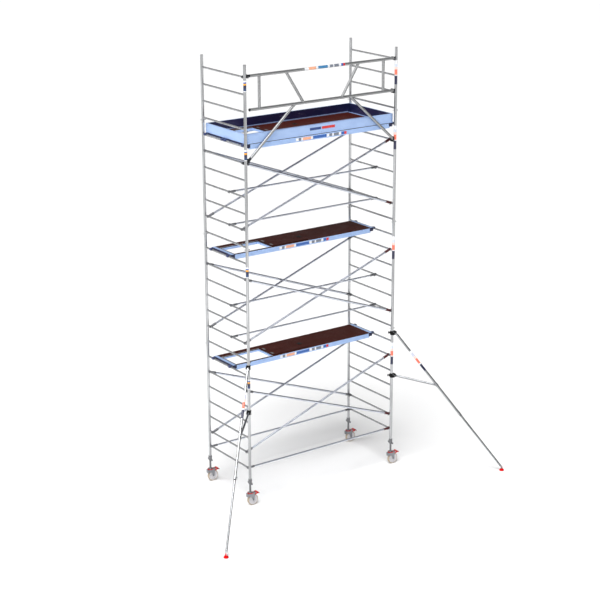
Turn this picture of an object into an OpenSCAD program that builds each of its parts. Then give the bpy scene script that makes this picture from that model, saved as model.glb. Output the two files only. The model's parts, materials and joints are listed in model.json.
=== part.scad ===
// Mobile tower scaffold: two ladder-like ends of stacked frames, three deck levels, claw-hooked
// braces, a guarded top platform, four height-adjustable castors and two stabilisers.
// The origin is on the floor at the centre of the footprint, feet of the stabilisers included.
// +X runs along the bay to the right, +Y to the rear and +Z up. All sizes are in millimetres.

/* [Tower] */
// Length of the bay, from the left rungs' axis to the right rungs' axis
bay_length = 3070; // [2400:10:3700]
// Width of an end frame, from the front upright's axis to the rear upright's axis
frame_width = 1270; // [1050:10:1530]
// Distance from one rung to the next
rung_pitch = 280; // [250:1:336]
// Height of the lowest rung above the floor
first_rung_z = 677; // [640:1:812]

/* [Frame tubes] */
// Outer diameter of an upright
upright_d = 50; // [42:1:56]
// Wall of an upright
upright_wall = 2; // [1.5:0.1:3]
// Outer diameter of a rung
rung_d = 32; // [26:1:38]
// Wall of a rung
rung_wall = 1.8; // [1.2:0.1:2.5]
// Upright above the top rung of each frame
frame_stub = 199; // [160:1:238]
// Height of the bottom end of the lowest uprights above the floor
upright_foot_z = 470; // [440:1:564]

/* [Decks] */
// Thickness of a deck board
board_t = 10; // [8:1:15]
// Height of the deck's side beams
deck_beam_h = 80; // [60:1:96]
// Width of the deck's side beams
deck_beam_w = 30; // [24:1:40]
// Height of the deck's top face above its rungs' axis
deck_rise = 30; // [28:1:36]
// Gap from the rear uprights to the rear edge of a single deck
single_deck_inset = 115; // [40:1:138]
// Length of the hatch
hatch_length = 760; // [600:5:912]
// Width of the hatch
hatch_width = 430; // [360:5:450]
// Width of the board left along the rear of the hatch
hatch_rear_strip = 140; // [100:1:150]

/* [Top platform] */
// Height of the toe boards
toe_board_h = 156; // [130:1:200]
// Thickness of the toe boards
toe_board_t = 22; // [16:1:26]
// Distance between the two rails of the guardrail frame
guard_rail_gap = 545; // [450:5:600]
// Outer diameter of the guardrail frame's tubes
guard_tube_d = 48; // [38:1:52]

/* [Braces] */
// Outer diameter of a diagonal brace
brace_d = 38; // [30:1:42]
// Outer diameter of a horizontal brace or guardrail
rail_d = 32; // [26:1:38]

/* [Castors] */
// Diameter of a castor wheel
wheel_d = 200; // [160:5:204]
// Width of a castor wheel
wheel_w = 48; // [36:1:54]
// Horizontal distance from a castor's swivel axis to its axle
castor_trail = 45; // [30:1:54]
// Diameter of the height-adjusting spindle
spindle_d = 36; // [30:1:40]
// Travel of the spindle below the position that is shown
spindle_travel = 200; // [120:5:240]

/* [Stabilisers] */
// Horizontal distance from the upright's axis to the centre of the foot
stabiliser_reach = 2020; // [1700:10:2400]
// Height of the upper clamp above the floor
upper_clamp_z = 2518; // [2440:1:2522]
// Height of the lower clamp above the floor
lower_clamp_z = 1712; // [1640:1:1735]
// Outer diameter of the stabiliser's main tube
stabiliser_d = 42; // [36:1:48]
// Outer diameter of the telescopic leg inside the main tube
leg_d = 36; // [28:1:37]

/* [Hidden] */
$fn = 48;

LEFT = -1;
RIGHT = 1;
FRONT = -1;
REAR = 1;

// Frames, counted from the floor: rungs in each and the number of each frame's lowest rung
RUNGS = [7, 7, 7, 4];
FIRST = [0, 7, 14, 21];
LOWER_DECK_RUNG = 6;
MIDDLE_DECK_RUNG = 13;
UPPER_DECK_RUNG = 20;
LAST_RUNG = 24;

// Places of the frame
half_bay = bay_length / 2;
half_width = frame_width / 2;
upright_r = upright_d / 2;
upright_bore_r = upright_r - upright_wall;
rung_r = rung_d / 2;
function rung_z(i) = first_rung_z + i * rung_pitch;

// Small clearances: between parts that are pushed together, that run in each other, that slide
fit = 0.3;
running = 0.06;
sliding = 0.5;
// Gap left at a welded joint, so that each welded tube stays a solid of its own
weld_gap = 0.05;

// Spigots join two frames, and a pin through each one locks them
spigot_half = 110;
spigot_wall = 3;
lock_pin_r = 4;
lock_pin_l = 84;
lock_pin_rise = 40;

// Claws: hooks at the ends of the braces that drop over a rung
claw_wall = 9;
claw_w = 34;
claw_socket_start = 32;
claw_socket_end = 118;
claw_socket_wall = 4;
claw_socket_r = brace_d / 2 + claw_socket_wall;
brace_end_gap = 62;
brace_wall = 1.8;
latch_w = 20;
claw_ring_r = rung_r + claw_wall;
diagonal_outer_y = half_width - upright_r - claw_socket_r - 5;
diagonal_inner_y = diagonal_outer_y - brace_d - 6;
base_rail_y = diagonal_outer_y;

// Decks
deck_gap = 8;
deck_width = (frame_width - upright_d - 3 * deck_gap) / 2;
end_beam_w = 60;
end_beam_h = 65;
deck_wall = 2.5;
deck_half = half_bay - rung_r - 19;
board_half = deck_half - end_beam_w;
single_deck_y = half_width - upright_r - single_deck_inset - deck_width / 2;
upper_deck_y = (deck_width + deck_gap) / 2;
guardrail_y = single_deck_y - deck_width / 2 - 14 - rail_d / 2;
hook_y = deck_width / 2 - 39;
hook_w = 50;
hook_t = 8;

// Hatch: its left edge is near the deck's left end, and its lid is hinged at its right edge
hatch_left_x = -board_half + 25;
hinge_x = hatch_left_x + hatch_length;
hatch_centre_y = deck_width / 2 - hatch_rear_strip - hatch_width / 2;
KNUCKLE_SPOTS = [-1, 1];
hinge_gap = 6.5;
knuckle_r = 5;
knuckle_l = 20;
hinge_pin_r = 2.5;
lid_t = board_t - 0.4;
lid_clear = 3;
cross_beam_w = 40;
cross_beam_h = 30;

// Top platform
upper_deck_z = rung_z(UPPER_DECK_RUNG) + deck_rise;
toe_front_y = half_width - upright_r - 5;
toe_z = upper_deck_z + fit;
toe_wall = 2;
toe_bracket_t = 4;
toe_bracket_w = 44;
guard_r = guard_tube_d / 2;
guard_wall = 2;
guard_top_z = rung_z(LAST_RUNG) + 15;
guard_low_z = guard_top_z - guard_rail_gap;
guard_end_x = half_bay - 60;
guard_post_x = half_bay - 275;
guard_diagonal_top_x = 740;
guard_diagonal_low_x = 390;
guard_leg_x = 560;
guard_leg_rung = 19;
guard_leg_z = rung_z(guard_leg_rung) - 6;
guard_leg_slope = (guard_leg_z - guard_low_z) / (half_bay - guard_leg_x);
guard_leg_rise = guard_leg_z + guard_leg_slope * (guard_end_x - half_bay) - rung_z(guard_leg_rung);
guard_leg_r = guard_r - 1;
guard_block_x = half_bay - upright_r - 9;
guard_claw_y = half_width - upright_r - claw_w / 2 - 2;

// Castors
wheel_r = wheel_d / 2;
spindle_r = spindle_d / 2;
spindle_wall = 4;
axle_r = 7;
fork_gap = 5;
fork_t = 4;
fork_top_z = wheel_d + 26;
kingpin_r = 8;
spindle_flange_r = 46;
spindle_flange_t = 10;
spindle_top_z = upright_foot_z + spindle_travel + 160;
nut_r = 32;
nut_h = 90;
nut_cup = 16;
wing_length = 72;
pedal_pivot_x = castor_trail + 38;
pedal_pivot_z = fork_top_z - 24;
pedal_w = 62;

// Stabilisers
clamp_h = 52;
clamp_wall = 9;
clamp_lug = 62;
clamp_pin_r = 6;
stabiliser_wall = 2;
foot_r = 42;
foot_pivot_z = 58;
foot_lug_t = 22;
foot_pin_r = 6;
leg_wall = 2;
arm_share = 0.6;
brace_share = 0.385;
leg_overlap = 500;
leg_hole_r = 5;
leg_hole_pitch = 80;
LEG_HOLES = 12;
leg_top = [clamp_lug, 0, upper_clamp_z];
leg_foot = [stabiliser_reach, 0, foot_pivot_z];
leg_vector = leg_foot - leg_top;
leg_length = norm(leg_vector);
leg_tilt = atan2(leg_vector[0], -leg_vector[2]);
brace_joint = leg_top + leg_vector * brace_share;
stay_top = [clamp_lug, 0, lower_clamp_z];

// The footprint reaches from the front of the stabilisers' feet to the rear wing nuts,
// and the bay is set back by this much so that the origin is at its centre.
front_reach = half_width + stabiliser_reach * sin(45) + foot_r;
rear_reach = half_width + wing_length;
bay_y = (front_reach - rear_reach) / 2;

// ---------- shapes that repeat ----------

// Places its children so that their +Z runs from point a towards point b
module along(a, b) {
    d = b - a;
    translate(a) rotate([0, acos(d[2] / norm(d)), atan2(d[1], d[0])]) children();
}

// Round tube from a to b
module tube(a, b, r, wall) {
    length = norm(b - a);
    along(a, b) difference() {
        cylinder(h = length, r = r);
        translate([0, 0, -1]) cylinder(h = length + 2, r = r - wall);
    }
}

// Rectangular hollow bar along X, from x0 to x1, with its section centred on y and its top at z
module bar_x(x0, x1, y, z, w, h, wall) {
    difference() {
        translate([x0, y - w / 2, z - h]) cube([x1 - x0, w, h]);
        translate([x0 - 1, y - w / 2 + wall, z - h + wall])
            cube([x1 - x0 + 2, w - 2 * wall, h - 2 * wall]);
    }
}

// Rectangular hollow bar along Y, from y0 to y1, with its section centred on x and its top at z
module bar_y(y0, y1, x, z, w, h, wall) {
    translate([x, 0, 0]) rotate([0, 0, 90]) bar_x(y0, y1, 0, z, w, h, wall);
}

// ---------- end frames ----------

function frame_bottom_z(level) =
    level == 0 ? upright_foot_z : rung_z(FIRST[level] - 1) + frame_stub;
function frame_top_z(level) = rung_z(FIRST[level] + RUNGS[level] - 1) + frame_stub;

// Hole for a lock pin across an upright at height z
module lock_pin_hole(z) {
    translate([0, 0, z]) rotate([0, 90, 0]) cylinder(h = lock_pin_l, r = lock_pin_r + 0.2, center = true);
}

module upright(level) {
    z0 = frame_bottom_z(level);
    z1 = frame_top_z(level);
    difference() {
        tube([0, 0, z0], [0, 0, z1], upright_r, upright_wall);
        if (level > 0) lock_pin_hole(z0 + lock_pin_rise);
    }
}

// One end frame: two uprights and the rungs between them, their ends cut to fit the uprights
module ladder_frame(side, level) {
    x = side * half_bay;
    translate([x, bay_y, 0]) {
        for (y = [-half_width, half_width]) translate([0, y, 0]) upright(level);
        for (i = [FIRST[level] : FIRST[level] + RUNGS[level] - 1]) difference() {
            tube([0, -half_width, rung_z(i)], [0, half_width, rung_z(i)], rung_r, rung_wall);
            for (y = [-half_width, half_width])
                translate([0, y, rung_z(i) - rung_d]) cylinder(h = 2 * rung_d, r = upright_r + weld_gap);
        }
    }
}

module left_frame(level) color("silver") ladder_frame(LEFT, level);
module right_frame(level) color("silver") ladder_frame(RIGHT, level);

// Places its children at each of the twelve joints between stacked uprights
module at_frame_joints() {
    for (level = [1 : 3], side = [LEFT, RIGHT], row = [FRONT, REAR])
        translate([side * half_bay, bay_y + row * half_width, frame_bottom_z(level)]) children();
}

module frame_spigots() color("gray") at_frame_joints() difference() {
    tube([0, 0, -spigot_half], [0, 0, spigot_half], upright_bore_r - 0.1, spigot_wall);
    lock_pin_hole(lock_pin_rise);
}

module frame_lock_pins() color("dimgray") at_frame_joints()
    translate([0, 0, lock_pin_rise]) rotate([0, 90, 0]) {
        cylinder(h = lock_pin_l, r = lock_pin_r, center = true);
        translate([0, 0, lock_pin_l / 2]) cylinder(h = 5, r = 9);
    }

// ---------- braces and their claws ----------

// A brace is [left rung, right rung, y, tube radius]
function diagonal_pair(low, high, row, step_in = 0) = [
    [low, high, row * (diagonal_inner_y - step_in), brace_d / 2],
    [high, low, row * (diagonal_outer_y - step_in), brace_d / 2]
];
function diagonals(low, high, front_step_in = 0) =
    concat(diagonal_pair(low, high, FRONT, front_step_in), diagonal_pair(low, high, REAR));
BASE_RAILS = [for (row = [FRONT, REAR]) [0, 0, row * base_rail_y, rail_d / 2]];
LEVEL_1_BRACES = concat(diagonals(1, 5), BASE_RAILS);
LEVEL_2_BRACES = diagonals(8, 12);
// the front pair of level 3 stands further in, to leave room for the guardrail frame's claws
LEVEL_3_BRACES = diagonals(15, 19, claw_w + 4);
LEVEL_2_RAILS = [for (i = [8, 10]) [i, i, guardrail_y, rail_d / 2]];
LEVEL_3_RAILS = [for (i = [15, 17]) [i, i, guardrail_y, rail_d / 2]];
ALL_BRACES = concat(LEVEL_1_BRACES, LEVEL_2_BRACES, LEVEL_3_BRACES, LEVEL_2_RAILS, LEVEL_3_RAILS);

// The two rung points that a brace hooks on, left and right
function brace_end(b, side) =
    [side * half_bay, bay_y + b[2], rung_z(side == LEFT ? b[0] : b[1])];
function unit(v) = v / norm(v);

module brace(b) {
    left = brace_end(b, LEFT);
    right = brace_end(b, RIGHT);
    step = unit(right - left) * brace_end_gap;
    tube(left + step, right - step, b[3], brace_wall);
}

module level_braces(list) color("silver") for (b = list) brace(b);

// Section of a hook over a rung, with a web that runs towards the tube at this angle
module claw_section(angle) {
    bore = rung_r + sliding;
    difference() {
        union() {
            circle(r = claw_ring_r);
            rotate(angle) translate([0, -claw_ring_r / 2])
                square([claw_socket_start + 10, claw_ring_r]);
        }
        circle(r = bore);
        translate([-bore, -2 * claw_ring_r]) square([2 * bore, 2 * claw_ring_r]);
    }
}

// Claw on one end of a brace: a socket round the tube's end and a hook over the rung
module claw(b, side) {
    here = brace_end(b, side);
    there = brace_end(b, -side);
    aim = unit(there - here);
    difference() {
        union() {
            translate(here) rotate([90, 0, 0]) linear_extrude(claw_w, center = true)
                claw_section(atan2(aim[2], aim[0]));
            along(here + aim * claw_socket_start, there)
                cylinder(h = claw_socket_end - claw_socket_start, r = b[3] + claw_socket_wall);
        }
        along(here + aim * (brace_end_gap - fit), there)
            cylinder(h = claw_socket_end, r = b[3] + 0.1);
    }
}

module brace_claws() color("dimgray")
    for (b = ALL_BRACES, side = [LEFT, RIGHT]) claw(b, side);

// Latch that closes a claw's mouth below the rung
module latch(here) {
    half = rung_r + sliding - fit;
    translate(here) rotate([90, 0, 0]) linear_extrude(latch_w, center = true) intersection() {
        difference() {
            circle(r = claw_ring_r);
            circle(r = rung_r + sliding);
        }
        translate([-half, -claw_ring_r]) square([2 * half, claw_ring_r - rung_r * 0.55]);
    }
}

module claw_latches() color("black")
    for (b = ALL_BRACES, side = [LEFT, RIGHT]) latch(brace_end(b, side));

// ---------- decks ----------

module deck_frame(rung, y, has_hatch) {
    z = rung_z(rung) + deck_rise;
    beam_y = (deck_width - deck_beam_w) / 2;
    beam_end = board_half - weld_gap;
    inner = deck_width / 2 - deck_beam_w - weld_gap;
    cross_z = z - board_t;
    hatch_rear_y = deck_width / 2 - hatch_rear_strip;
    translate([0, bay_y + y, 0]) {
        for (row = [FRONT, REAR])
            bar_x(-beam_end, beam_end, row * beam_y, cross_z, deck_beam_w, deck_beam_h, deck_wall);
        for (side = [LEFT, RIGHT])
            bar_y(-deck_width / 2, deck_width / 2, side * (deck_half - end_beam_w / 2), z,
                end_beam_w, end_beam_h, deck_wall);
        for (x = has_hatch ? [hinge_x, 0, board_half / 2] : [-board_half / 2, 0, board_half / 2])
            bar_y(-inner, inner, x, cross_z, cross_beam_w, cross_beam_h, deck_wall);
        if (has_hatch)
            bar_x(-beam_end, hinge_x - cross_beam_w / 2 - weld_gap, hatch_rear_y, cross_z,
                deck_beam_w / 2, cross_beam_h, deck_wall);
    }
}

// Hinge knuckles of a hatch: the middle one of three on the lid, the outer two on the board
function knuckle_y(spot) = hatch_centre_y + spot * hatch_width * 0.3;

module knuckle(y, z, up) {
    translate([hinge_x, y, z]) {
        rotate([90, 0, 0]) cylinder(h = knuckle_l, r = knuckle_r, center = true);
        translate([0, -knuckle_l / 2, up ? fit : -knuckle_r])
            cube([hinge_gap + 2, knuckle_l, knuckle_r - fit]);
    }
}

module hinge_bores(z) {
    for (spot = KNUCKLE_SPOTS) translate([hinge_x, knuckle_y(spot), z])
        rotate([90, 0, 0]) cylinder(h = 4 * knuckle_l, r = hinge_pin_r + running, center = true);
}

module deck_board(rung, y, has_hatch) {
    z = rung_z(rung) + deck_rise;
    translate([0, bay_y + y, 0]) {
        difference() {
            union() {
                difference() {
                    translate([-board_half, -deck_width / 2, z - board_t])
                        cube([2 * board_half, deck_width, board_t]);
                    if (has_hatch)
                        translate([hatch_left_x, hatch_centre_y - hatch_width / 2, z - 2 * board_t])
                            cube([hatch_length + hinge_gap, hatch_width, 3 * board_t]);
                }
                if (has_hatch) for (spot = KNUCKLE_SPOTS, k = [-1, 1])
                    knuckle(knuckle_y(spot) + k * (knuckle_l + fit), z, false);
            }
            if (has_hatch) hinge_bores(z);
        }
        if (has_hatch) for (spot = KNUCKLE_SPOTS)
            translate([hinge_x, knuckle_y(spot), z]) rotate([90, 0, 0])
                cylinder(h = 3 * knuckle_l, r = hinge_pin_r, center = true);
    }
}

// Lid of a hatch, folded right back so that it lies on the deck beside the opening
module hatch_lid(rung, y) {
    z = rung_z(rung) + deck_rise;
    width = hatch_width - 2 * lid_clear;
    color("saddlebrown") translate([0, bay_y + y, 0]) difference() {
        union() {
            translate([hinge_x + hinge_gap, hatch_centre_y - width / 2, z + 0.2])
                cube([hatch_length - hinge_gap - lid_clear, width, lid_t]);
            for (spot = KNUCKLE_SPOTS) knuckle(knuckle_y(spot), z, true);
        }
        hinge_bores(z);
    }
}

DECKS = [
    [LOWER_DECK_RUNG, single_deck_y], [MIDDLE_DECK_RUNG, single_deck_y],
    [UPPER_DECK_RUNG, -upper_deck_y], [UPPER_DECK_RUNG, upper_deck_y]
];

// Hook from the end beam over the rung
module deck_hook() {
    top = deck_rise - 3;
    lip_x = rung_r + sliding + hook_t;
    reach = half_bay - deck_half;
    rotate([90, 0, 0]) linear_extrude(hook_w, center = true) difference() {
        polygon([
            [-reach, top], [lip_x - 4, top], [lip_x, top - 6], [lip_x, -rung_r * 0.7],
            [-lip_x + hook_t - 1, -rung_r * 0.7], [-reach, -rung_r * 0.7]
        ]);
        circle(r = rung_r + sliding);
        translate([-rung_r - sliding, -2 * rung_r]) square([2 * (rung_r + sliding), 2 * rung_r]);
    }
}

module deck_hooks() color("navy")
    for (deck = DECKS, side = [LEFT, RIGHT], row = [FRONT, REAR])
        translate([side * half_bay, bay_y + deck[1] + row * hook_y, rung_z(deck[0])])
            mirror([side == LEFT ? 1 : 0, 0, 0]) deck_hook();

// ---------- top platform ----------

module toe_boards() color("lightsteelblue") translate([0, bay_y, 0]) {
    end_x = deck_half - toe_board_t / 2;
    side_x = deck_half - toe_board_t - fit;
    for (row = [FRONT, REAR])
        bar_x(-side_x, side_x, row * (toe_front_y - toe_board_t / 2), toe_z + toe_board_h,
            toe_board_t, toe_board_h, toe_wall);
    for (side = [LEFT, RIGHT])
        bar_y(-toe_front_y, toe_front_y, side * end_x, toe_z + toe_board_h,
            toe_board_t, toe_board_h, toe_wall);
}

// Corner brackets of the toe boards: a flat clip inside each corner, on both boards
module toe_board_brackets() color("midnightblue") translate([0, bay_y, 0])
    for (side = [LEFT, RIGHT], row = [FRONT, REAR])
        translate([side * (deck_half - toe_board_t - fit), row * (toe_front_y - toe_board_t - fit), 0])
            mirror([side == RIGHT ? 1 : 0, 0, 0]) mirror([0, row == REAR ? 1 : 0, 0]) {
                translate([fit, fit, toe_z]) cube([toe_bracket_w, toe_bracket_t, toe_board_h - 12]);
                translate([fit, fit + toe_bracket_t, toe_z])
                    cube([toe_bracket_t, toe_bracket_w, toe_board_h - 12]);
            }

// Tube in the plane of the guardrail frame, from [x, z] to [x, z]
module guard_tube(a, b, r) {
    tube([a[0], 0, a[1]], [b[0], 0, b[1]], r, guard_wall);
}

module guard_rail_cut(z) {
    translate([-half_bay, 0, z]) rotate([0, 90, 0]) cylinder(h = bay_length, r = guard_r + weld_gap);
}

// Claw beside the plane of the frame, on a rung at height 0, with its block on the tube's end
module guard_claw(side, tube_rise) {
    block = guard_block_x - guard_end_x - fit;
    mirror([side == LEFT ? 1 : 0, 0, 0]) difference() {
        union() {
            translate([guard_end_x + fit, -guard_r, min(-rung_r, tube_rise - guard_r)])
                cube([block, guard_r + half_width - guard_claw_y + claw_w / 2,
                    max(tube_rise + guard_r, rung_r) - min(-rung_r, tube_rise - guard_r)]);
            translate([guard_end_x + fit, half_width - guard_claw_y - claw_w / 2, -rung_r / 2])
                cube([half_bay - guard_end_x, claw_w, rung_r + claw_wall / 2]);
            translate([half_bay, half_width - guard_claw_y, 0]) rotate([90, 0, 0])
                cylinder(h = claw_w, r = claw_ring_r, center = true);
        }
        translate([half_bay, half_width - guard_claw_y, 0]) {
            rotate([90, 0, 0]) cylinder(h = 2 * claw_w, r = rung_r + sliding, center = true);
            translate([-rung_r - sliding, -claw_w, -2 * claw_ring_r])
                cube([2 * (rung_r + sliding), 2 * claw_w, 2 * claw_ring_r]);
        }
    }
}

module guardrail_frame() color("silver") translate([0, bay_y - half_width, 0]) {
    guard_tube([-guard_end_x, guard_top_z], [guard_end_x, guard_top_z], guard_r);
    guard_tube([-guard_end_x + 30, guard_low_z], [guard_end_x, guard_low_z], guard_r);
    for (side = [LEFT, RIGHT]) {
        difference() {
            union() guard_tube([side * guard_post_x, guard_low_z], [side * guard_post_x, guard_top_z],
                guard_r);
            guard_rail_cut(guard_top_z);
            guard_rail_cut(guard_low_z);
        }
        difference() {
            guard_tube([side * guard_diagonal_low_x, guard_low_z],
                [side * guard_diagonal_top_x, guard_top_z], guard_leg_r);
            guard_rail_cut(guard_top_z);
            guard_rail_cut(guard_low_z);
        }
        difference() {
            guard_tube([side * guard_leg_x, guard_low_z],
                [side * half_bay, guard_leg_z], guard_leg_r);
            guard_rail_cut(guard_low_z);
            translate([side > 0 ? guard_end_x : -guard_end_x - 300, -100, 0])
                cube([300, 200, guard_low_z]);
        }
        translate([0, 0, rung_z(LAST_RUNG)]) guard_claw(side, guard_top_z - rung_z(LAST_RUNG));
        translate([0, 0, rung_z(guard_leg_rung)]) guard_claw(side, guard_leg_rise);
    }
    translate([0, 0, rung_z(LAST_RUNG - 2)]) guard_claw(RIGHT, guard_low_z - rung_z(LAST_RUNG - 2));
    translate([-guard_end_x + 30, 0, guard_low_z]) rotate([0, -90, 0]) cylinder(h = 10, r = guard_r + 1);
}

// ---------- castors ----------

// Places its children at a castor's swivel axis
module at_castor(side, row) translate([side * half_bay, bay_y + row * half_width, 0]) children();

// Hollow screwed spindle with the flange and kingpin that carry the fork
module spindle(side, row) color("gray") at_castor(side, row) {
    flange_z = fork_top_z + fit;
    difference() {
        union() {
            translate([0, 0, flange_z]) cylinder(h = spindle_top_z - flange_z, r = spindle_r);
            translate([0, 0, flange_z]) cylinder(h = spindle_flange_t, r = spindle_flange_r);
        }
        translate([0, 0, flange_z + spindle_flange_t + 10])
            cylinder(h = spindle_top_z, r = spindle_r - spindle_wall);
    }
    translate([0, 0, fork_top_z - fork_t - 8]) cylinder(h = fork_t + 8 + fit, r = kingpin_r);
}

// Nut under the upright that sets the height, with a cup round the upright's end and two wings
module wing_nut(side, row) color("darkgray") at_castor(side, row) {
    seat_z = upright_foot_z - fit;
    bottom_z = seat_z - nut_h + nut_cup;
    difference() {
        union() {
            translate([0, 0, bottom_z]) cylinder(h = nut_h, r = nut_r);
            for (turn = [0, 180]) rotate([0, 0, turn + 90])
                translate([nut_r - 4, -7, bottom_z + 6]) cube([wing_length - nut_r + 4, 14, 20]);
        }
        translate([0, 0, bottom_z - 1]) cylinder(h = nut_h, r = spindle_r + running);
        translate([0, 0, seat_z]) cylinder(h = nut_h, r = upright_r + sliding);
    }
}

// Pressed fork: a top plate, two cheeks down to the axle and a skirt behind the wheel
module fork(side, row) color("lightgray") at_castor(side, row) {
    cheek_y = wheel_w / 2 + fork_gap;
    cheek_top = fork_top_z - fork_t;
    difference() {
        union() {
            translate([-62, -cheek_y - fork_t, cheek_top])
                cube([castor_trail + 62 + 50, 2 * (cheek_y + fork_t), fork_t]);
            for (s = [-1, 1]) translate([0, s * (cheek_y + fork_t / 2), 0]) rotate([90, 0, 0])
                linear_extrude(fork_t, center = true) polygon([
                    [-62, fork_top_z], [castor_trail + 50, fork_top_z],
                    [castor_trail + 50, pedal_pivot_z - 14], [castor_trail + 20, wheel_r - 8],
                    [castor_trail, wheel_r - 18], [castor_trail - 20, wheel_r - 8],
                    [-62, fork_top_z - 70]
                ]);
            translate([-62 - fork_t, -cheek_y - fork_t, fork_top_z - 66])
                cube([fork_t, 2 * (cheek_y + fork_t), 66]);
        }
        translate([0, 0, cheek_top - 1]) cylinder(h = fork_t + 2, r = kingpin_r + running);
        translate([castor_trail, 0, wheel_r]) rotate([90, 0, 0])
            cylinder(h = 4 * wheel_w, r = axle_r + 0.05, center = true);
        translate([pedal_pivot_x, 0, pedal_pivot_z]) rotate([90, 0, 0])
            cylinder(h = 4 * wheel_w, r = axle_r / 2 + running, center = true);
    }
    translate([castor_trail, 0, wheel_r]) rotate([90, 0, 0]) {
        cylinder(h = wheel_w + 2 * fork_gap + 2 * fork_t + 10, r = axle_r, center = true);
    }
}

// Wheel with a narrower web between its rim and hub
module wheel(side, row) color("gainsboro") at_castor(side, row)
    translate([castor_trail, 0, wheel_r]) rotate([90, 0, 0]) rotate_extrude($fn = 96) polygon([
        [axle_r + running, -wheel_w / 2 - 2], [26, -wheel_w / 2 - 2], [28, -wheel_w / 2 + 8],
        [wheel_r - 26, -wheel_w / 2 + 8], [wheel_r - 22, -wheel_w / 2], [wheel_r - 6, -wheel_w / 2],
        [wheel_r, -wheel_w / 2 + 9], [wheel_r, wheel_w / 2 - 9], [wheel_r - 6, wheel_w / 2],
        [wheel_r - 22, wheel_w / 2], [wheel_r - 26, wheel_w / 2 - 8], [28, wheel_w / 2 - 8],
        [26, wheel_w / 2 + 2], [axle_r + running, wheel_w / 2 + 2]
    ]);

// Foot pedal of the wheel brake: a tread on two arms outside the fork, pivoting on a pin
module brake_pedal(side, row) color("red") at_castor(side, row) {
    arm_y = wheel_w / 2 + fork_gap + fork_t + 1;
    arm_t = 5;
    translate([pedal_pivot_x, 0, pedal_pivot_z]) {
        rotate([90, 0, 0]) cylinder(h = 2 * (arm_y + arm_t), r = axle_r / 2, center = true);
        for (s = [-1, 1]) translate([0, s * (arm_y + arm_t / 2), 0]) rotate([90, 0, 0])
            linear_extrude(arm_t, center = true)
                polygon([[-9, -8], [6, -9], [44, -2], [62, 6], [58, 22], [34, 24], [-6, 9]]);
        rotate([90, 0, 0]) linear_extrude(2 * (arm_y + arm_t), center = true) polygon([
            [26, 18], [34, 27], [54, 26], [74, 10], [82, -8], [74, -10], [62, 5], [50, 18]
        ]);
    }
}

// ---------- stabilisers ----------

// Places its children in a stabiliser's own frame: +X outwards from the upright, along the arm
module at_stabiliser(side)
    translate([side * half_bay, bay_y - half_width, 0])
        rotate([0, 0, side == LEFT ? -135 : -45]) children();

// Clamp round the upright with a two-eared lug for the end of a tube
module stabiliser_clamp(z) {
    outer = upright_r + clamp_wall;
    ear_t = 8;
    ear_y = foot_lug_t / 2 + fit;
    translate([0, 0, z - clamp_h / 2]) difference() {
        union() {
            cylinder(h = clamp_h, r = outer);
            for (s = [-1, 1]) translate([0, s > 0 ? ear_y : -ear_y - ear_t, 4])
                cube([clamp_lug + 16, ear_t, clamp_h - 8]);
            translate([-outer - 16, -9, 8]) cube([24, 18, clamp_h - 16]);
        }
        translate([0, 0, -1]) cylinder(h = clamp_h + 2, r = upright_r + 0.1);
    }
    translate([clamp_lug, 0, z]) rotate([90, 0, 0])
        cylinder(h = 2 * (ear_y + ear_t) + 12, r = clamp_pin_r, center = true);
}

module stabiliser_clamps(side) color("black") at_stabiliser(side) {
    stabiliser_clamp(upper_clamp_z);
    stabiliser_clamp(lower_clamp_z);
}

// Flattened end of a stabiliser tube at point p, with the tube running on towards q
module tube_end(p, q, length) {
    along(p, q) rotate([90, 0, 0]) linear_extrude(foot_lug_t, center = true) difference() {
        union() {
            circle(r = 15);
            translate([-14, 0]) square([28, length]);
        }
        circle(r = clamp_pin_r + running);
    }
}

// Fixed part of a stabiliser: the main tube, the stay to the lower clamp and their ends
module stabiliser_arm(side) color("silver") at_stabiliser(side) {
    r = stabiliser_d / 2;
    bore = r - stabiliser_wall;
    stay_r = r - 3;
    plug = 14;
    start = 38;
    end = leg_length * arm_share;
    sleeve_l = 40;
    // main tube: plugged at the top, with a sleeve round its lower end that guides the leg
    tube_end(leg_top, leg_foot, start + plug / 2);
    along(leg_top, leg_foot) rotate_extrude() polygon([
        [0, start], [r, start], [r, end - sleeve_l], [r + 3, end - sleeve_l],
        [r + 3, end + sleeve_l / 2], [leg_d / 2 + sliding, end + sleeve_l / 2],
        [leg_d / 2 + sliding, end], [bore, end], [bore, start + plug], [0, start + plug]
    ]);
    // collar on the main tube, and the stay that ends against it
    along(brace_joint, leg_foot) difference() {
        cylinder(h = 44, r = r + 6, center = true);
        cylinder(h = 46, r = r + 0.05, center = true);
    }
    tube_end(stay_top, brace_joint, start + plug / 2);
    difference() {
        along(stay_top, brace_joint) rotate_extrude() polygon([
            [0, start], [stay_r, start], [stay_r, norm(brace_joint - stay_top)],
            [stay_r - stabiliser_wall, norm(brace_joint - stay_top)],
            [stay_r - stabiliser_wall, start + plug], [0, start + plug]
        ]);
        along(leg_top, leg_foot) cylinder(h = leg_length, r = r + 6 + weld_gap);
    }
}

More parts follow.
